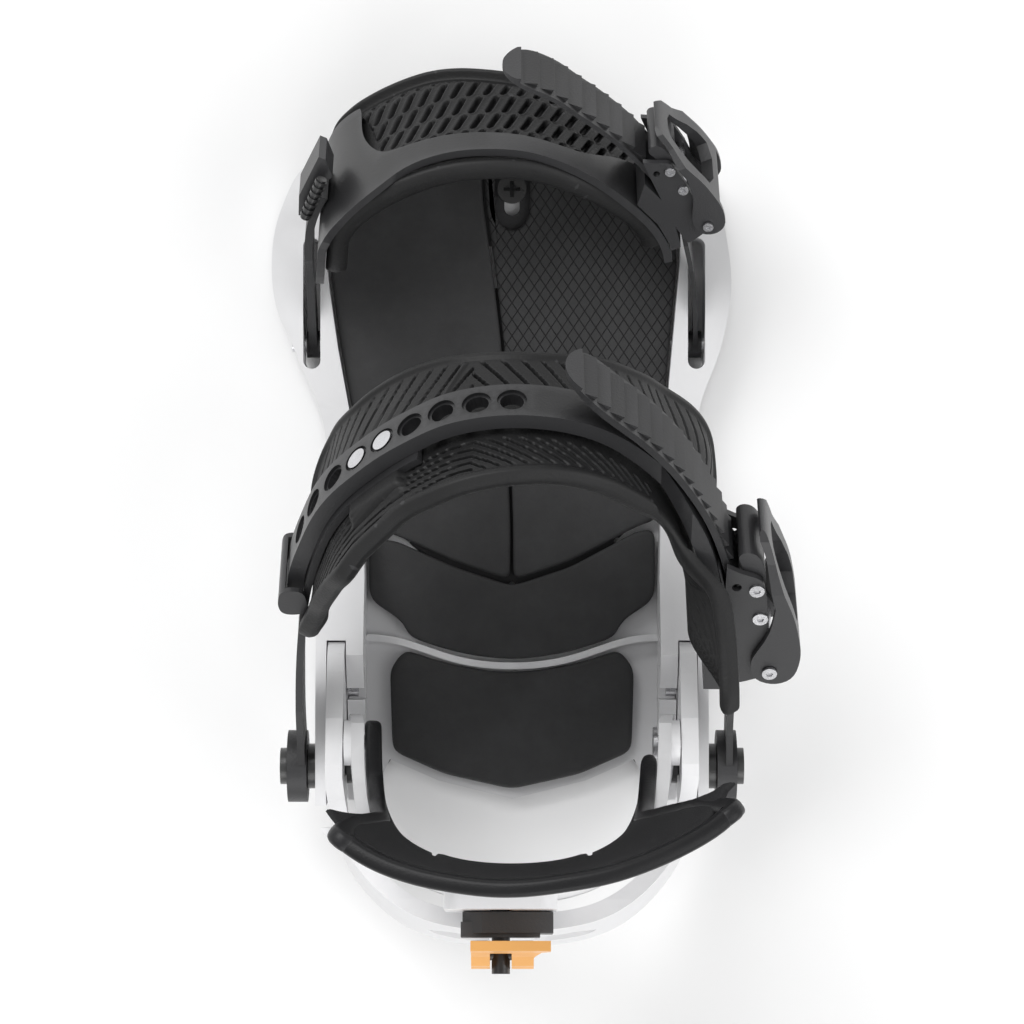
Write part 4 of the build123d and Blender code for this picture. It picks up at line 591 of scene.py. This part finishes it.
def liner_t(z):
    return 4.9 - 3.3 * smooth_step(z, 130, 206)


def build_liner():
    """Foam liner: quilted by long embossed lines that follow its outline."""
    nu, nv = detail(300, 80), detail(260, 60)
    z_of = np.linspace(0, 1, nv)
    grid_o, grid_i = np.zeros((nu, nv, 3)), np.zeros((nu, nv, 3))
    for j, t in enumerate(z_of):
        level = LINER_FOOT + t * LINER_RISE
        ua, ub = edge_u(level, -1), edge_u(level, 1)
        u = ua + (ub - ua) * (0.012 + 0.976 * clustered(nu, 0.35))
        x0, _ = back_point(u, np.full(nu, level), 0.0)
        z = LINER_FOOT + t * (crest_z(x0) - 1.5 - LINER_FOOT)
        base = shell_t(z) + 0.35
        edge = np.minimum(np.arange(nu), np.arange(nu)[::-1]) * 120.0 / nu
        border = np.minimum(edge, np.minimum(t, 1 - t) * LINER_RISE)
        thick = liner_t(z) * (0.25 + 0.75 * round_off(border + 0.05, 3.0))
        centre = np.abs((u - 0.5) / 0.33)
        lines = line_gap((edge + 0.10 * np.abs(z - 120)) / 3.1, 0.16) * (edge > 5) * (edge < 24)
        lines *= 1 - smooth_step(z, 96, 116)
        panel = (1 - smooth_step(np.abs(centre - 0.42), 0.008, 0.02)) * (z > 84) * (z < 150)
        relief = -0.8 * lines - 1.0 * panel
        relief += 0.7 * (1 - smooth_step(centre, 0.36, 0.44)) * smooth_step(z, 84, 96)
        relief *= smooth_step(border, 3, 6) * smooth_step(thick, 1.5, 3.5)
        xo, yo = back_point(u, z, base + thick + relief)
        xi, yi = back_point(u, z, base)
        grid_o[:, j] = np.stack([xo, yo, z], -1) * MM
        grid_i[:, j] = np.stack([xi, yi, z], -1) * MM
    verts, faces = closed_sheet(grid_o, grid_i)
    return mesh_object("soft_highback_liner", verts, faces, FOAM, "highback", ["highback_liner"])


def build_rim():
    """Rolled rubber edge: over the top of the shell and down both front edges to the arm tips."""
    path, width, height = [], [], []

    def add(u, z, tall):
        t = float(shell_t(z))
        low = t + 0.2 - (t + 0.6) * float(smooth_step(z, 168, 188))
        high = t + 0.6 + liner_t(z)
        x, y = back_point(np.array([u]), np.array([float(z)]), (low + high) / 2)
        a, b = back_point(np.array([u]), np.array([float(z)]), (low + high) / 2 + 1)
        path.append((float(x[0]), float(y[0]), z, float(a[0] - x[0]), float(b[0] - y[0])))
        width.append((high - low) / 2)
        height.append(tall)

    levels = [46.5, 52, 58.5, 63, 68, 76, 84, 94, 104, 115, 126, 138, 150, 161, 172, 180]
    for z in levels:
        add(edge_u(z, -1, 2.2), z, 2.4)
    ua, ub = edge_u(187, -1, 2.6), edge_u(195, 1, 2.6)
    for k in np.linspace(0, 1, 40):
        u = ua + (ub - ua) * (0.004 + 0.992 * k)
        x, _ = back_point(np.array([u]), np.array([198.0]), 0.0)
        add(u, float(crest_z(float(x[0]))) + 2.6, 3.5)
    for z in reversed(levels[2:]):
        add(edge_u(z + 2, 1, 2.2), z + 2, 2.4)
    line = curve(path, 6)
    sizes = curve(np.stack([width, height], 1), 6)
    centre, side = line[:, :3], np.column_stack([line[:, 3:5], np.zeros(len(line))])
    tangent = np.gradient(centre, axis=0)
    tangent /= np.linalg.norm(tangent, axis=1)[:, None]
    side /= np.linalg.norm(side, axis=1)[:, None]
    up = np.cross(side, tangent)
    up /= np.linalg.norm(up, axis=1)[:, None]
    ring = 28
    a = np.linspace(0, 2 * np.pi, ring, endpoint=False)
    power = 0.62
    ca = np.sign(np.cos(a)) * np.abs(np.cos(a)) ** power
    sa = np.sign(np.sin(a)) * np.abs(np.sin(a)) ** power
    fade = np.minimum(np.arange(len(line)), np.arange(len(line))[::-1]) / 5.0
    k = round_off(fade + 0.04, 1.0)
    verts = (centre[:, None] + side[:, None] * (sizes[:, :1] * ca)[:, :, None] * k[:, None, None]
             + up[:, None] * (sizes[:, 1:] * sa)[:, :, None] * k[:, None, None]) * MM
    n = len(line)
    faces = [(i * ring + j, i * ring + (j + 1) % ring, (i + 1) * ring + (j + 1) % ring, (i + 1) * ring + j)
             for i in range(n - 1) for j in range(ring)]
    faces.append(tuple(reversed(range(ring))))
    faces.append(tuple((n - 1) * ring + j for j in range(ring)))
    return mesh_object("soft_highback_rim", verts.reshape(-1, 3), faces, RIM, "highback", ["highback_rim"])


# ---- footbed pads and base cushions -------------------------------------------------------------
def ring_in(points, amount):
    """Closed outline moved inward by amount (millimetres)."""
    before, after = np.roll(points, 1, axis=0), np.roll(points, -1, axis=0)
    run = after - before
    run /= np.linalg.norm(run, axis=1)[:, None] + 1e-9
    return points + np.stack([-run[:, 1], run[:, 0]], 1) * amount


def closed_outline(points, spacing=1.2, corner=1.6):
    """Counter-clockwise outline, resampled, with its corners rounded."""
    pts = np.array(points, float)
    if np.linalg.norm(pts[0] - pts[-1]) < 0.01:
        pts = pts[:-1]
    area = np.sum(pts[:, 0] * np.roll(pts[:, 1], -1) - np.roll(pts[:, 0], -1) * pts[:, 1])
    if area < 0:
        pts = pts[::-1]
    loop = np.vstack([pts, pts[:1]])
    step = np.hypot(*np.diff(loop, axis=0).T)
    s = np.concatenate([[0], np.cumsum(step)])
    count = int(s[-1] / spacing)
    t = np.linspace(0, s[-1], count, endpoint=False)
    dense = np.stack([np.interp(t, s, loop[:, 0]), np.interp(t, s, loop[:, 1])], 1)
    return eased(dense, int(corner / spacing * 3))


def eased(points, times):
    """Closed outline with its corners relaxed."""
    for _ in range(times):
        points = 0.25 * np.roll(points, 1, axis=0) + 0.5 * points + 0.25 * np.roll(points, -1, axis=0)
    return points


def slab(name, outline, bottom, top, radius, mat, replaced, under=None):
    """Foam pad with a rolled edge."""
    profile = [(0.5, bottom), (0.0, bottom + 0.5)]
    for k in range(7):
        a = math.radians(90 * k / 6)
        profile.append((radius * (1 - math.cos(a)), top - radius + radius * math.sin(a)))
    profile.append((radius + 0.5, top))
    loops, xy, at = [], closed_outline(outline), 0.0
    for inset, z in profile:
        xy = eased(ring_in(xy, inset - at), 1)
        at = inset
        low = np.zeros(len(xy)) if under is None else under(xy[:, 1])
        zz = np.maximum(np.full(len(xy), z), low) if z < top - radius else np.full(len(xy), z)
        loops.append(np.column_stack([xy, zz]))
    n = len(xy)
    verts = np.vstack(loops) * MM
    faces = [(r * n + i, r * n + (i + 1) % n, (r + 1) * n + (i + 1) % n, (r + 1) * n + i)
             for r in range(len(profile) - 1) for i in range(n)]
    faces.append(tuple(reversed(range(n))))
    faces.append(tuple((len(profile) - 1) * n + i for i in range(n)))
    return mesh_object(name, verts, faces, mat, "base", replaced, 40.0)


PAD_LEFT = [(-10, 89), (-55, 88.4), (-60, 64), (-58.5, 48), (-55.7, 28.1), (-52.4, 9.8), (-49.2, -8),
            (-47.2, -30), (-38, -32.5), (-18.6, -41.1), (-0.6, -47.2), (-0.5, -30), (-1.5, 0),
            (-3.5, 30), (-6.1, 52), (-9.5, 76)]
PAD_RIGHT = [(5.8, 89), (52, 88.4), (53.8, 55.7), (52.4, 41.7), (51.4, 30.5), (50.2, 16.8), (48.7, -8),
             (47.2, -28), (42.6, -28.8), (18.7, -41.1), (0.4, -47.2), (0.4, -30), (-0.6, 0), (-2.6, 30),
             (-5.2, 52), (-8.6, 76), (-9.2, 89), (-5.6, 89), (-5.6, 72), (-3.8, 68), (0, 66.2),
             (3.8, 68), (5.8, 72)]
HEEL_FRONT = [(-38.6, -34.2), (-18.8, -43), (0, -49.2), (18.9, -43), (41.5, -31), (46.6, -30.6),
              (46.6, -52), (45.4, -54.2), (35.5, -60.8), (33.8, -65.6), (26, -68.4), (18.5, -70.6),
              (9, -72.4), (0, -73), (-9, -72.4), (-18.5, -70.6), (-26, -68.4), (-33.8, -65.6),
              (-35.5, -60.8), (-45.4, -54.2), (-46.6, -52), (-46.6, -34)]
HEEL_REAR = [(-35, -70), (-27, -72.8), (-19, -75), (-9, -76.8), (0, -77.4), (9, -76.8), (19, -75),
             (27, -72.8), (35, -70), (39.8, -76), (39, -103), (22, -110.5), (0, -115.4), (-22, -110.5),
             (-39, -103), (-39.8, -76)]


PAD_FLOOR = 9.0                  # tray floor and top of the footbed pads
PAD_TOP = 15.0


def foot_slabs():
    slab("soft_footbed_left", PAD_LEFT, PAD_FLOOR, PAD_TOP, 1.3, FOOTBED, ["footbed_front_left"],
         under=over_ramp)
    slab("soft_footbed_right", PAD_RIGHT, PAD_FLOOR, PAD_TOP, 1.3, FOOTBED_GRID, ["footbed_front_right"],
         under=over_ramp)
    slab("soft_heel_front", HEEL_FRONT, PAD_FLOOR, PAD_TOP, 1.1, FOOTBED, ["footbed_heel_front"])
    slab("soft_heel_rear", HEEL_REAR, PAD_FLOOR, PAD_TOP, 1.3, FOOTBED, ["footbed_heel_rear"])


def base_gaskets():
    """EVA cushions under the base, with rolled edges and the slight waviness of die-cut foam."""
    bm = bmesh.new()
    bm.from_mesh(nodes["base_cushions"].data)
    bmesh.ops.remove_doubles(bm, verts=bm.verts, dist=1e-6)
    bmesh.ops.dissolve_limit(bm, angle_limit=math.radians(2), verts=bm.verts, edges=bm.edges)
    sharp = [e for e in bm.edges if len(e.link_faces) == 2 and e.calc_face_angle(0) > math.radians(50)]
    bmesh.ops.bevel(bm, geom=sharp, offset=0.7 * MM, segments=3, profile=0.5, affect="EDGES",
                    clamp_overlap=True)
    bmesh.ops.triangulate(bm, faces=bm.faces)
    wave = 0.08 * MM
    verts = [v.co + v.normal * wave * math.sin(v.co.x * 260) * math.sin(v.co.y * 210) for v in bm.verts]
    faces = [tuple(v.index for v in f.verts) for f in bm.faces]
    bm.free()
    mesh_object("soft_base_cushions", verts, faces, EVA, "base", ["base_cushions"],
                40.0)


def over_ramp(y):
    """Underside of the front pads: lifted over the toe ramp."""
    return np.where(y > 50, 12.6, 0.0)


build_ankle_pad()
build_toe_pad()
build_liner()
build_rim()
foot_slabs()
base_gaskets()


# ---- stage: floor, lights, camera ---------------------------------------------------------------
CAMERA_AT = (0, -0.025, 1.2)     # straight above the middle of the binding
CAMERA_LENS = 127.8
FLOOR_SIZE = 9.0


def build_stage():
    bpy.ops.mesh.primitive_plane_add(size=FLOOR_SIZE, location=(0, 0, cad_box[0].z - 0.0002))
    floor = bpy.context.object
    floor.name = "floor"
    mat, nt, links, bsdf = new_material("floor_pale", (0.93, 0.93, 0.93), 0.9)
    cloud = noise(nt, links, coords(nt, links), 2.0, 2.0)
    links.new(ramp(nt, links, cloud, [(0.3, (0.925, 0.925, 0.925)), (0.7, (0.935, 0.935, 0.935))]),
              bsdf.inputs["Base Color"])
    floor.data.materials.append(mat)

    def area(name, loc, target, size, power, size_y=None):
        data = bpy.data.lights.new(name, "AREA")
        data.energy = power
        data.size = size
        if size_y:
            data.shape = "RECTANGLE"
            data.size_y = size_y
        ob = bpy.data.objects.new(name, data)
        ob.location = loc
        aim = Vector(target) - Vector(loc)
        ob.rotation_euler = aim.to_track_quat("-Z", "Y").to_euler()
        bpy.context.collection.objects.link(ob)

    area("key", (-0.9, 1.1, 1.7), (0, 0, 0.05), 1.3, 25.0)
    area("fill", (1.3, -0.5, 1.3), (0, 0, 0.05), 1.4, 10.0)
    area("rear", (0.0, -1.6, 1.1), (0, 0, 0.08), 1.2, 10.0)

    world = bpy.data.worlds.new("studio")
    bpy.context.scene.world = world
    world.use_nodes = True
    back = world.node_tree.nodes["Background"]
    back.inputs["Color"].default_value = (1, 1, 1, 1)
    back.inputs["Strength"].default_value = 0.56
    bpy.context.scene.view_settings.view_transform = "Standard"

    cam = bpy.data.cameras.new("camera")
    cam.lens = CAMERA_LENS
    cam.sensor_width = 36.0
    cam.clip_end = 20.0
    ob = bpy.data.objects.new("camera", cam)
    ob.location = CAMERA_AT
    ob.rotation_euler = (0, 0, 0)
    bpy.context.collection.objects.link(ob)
    bpy.context.scene.camera = ob


build_stage()
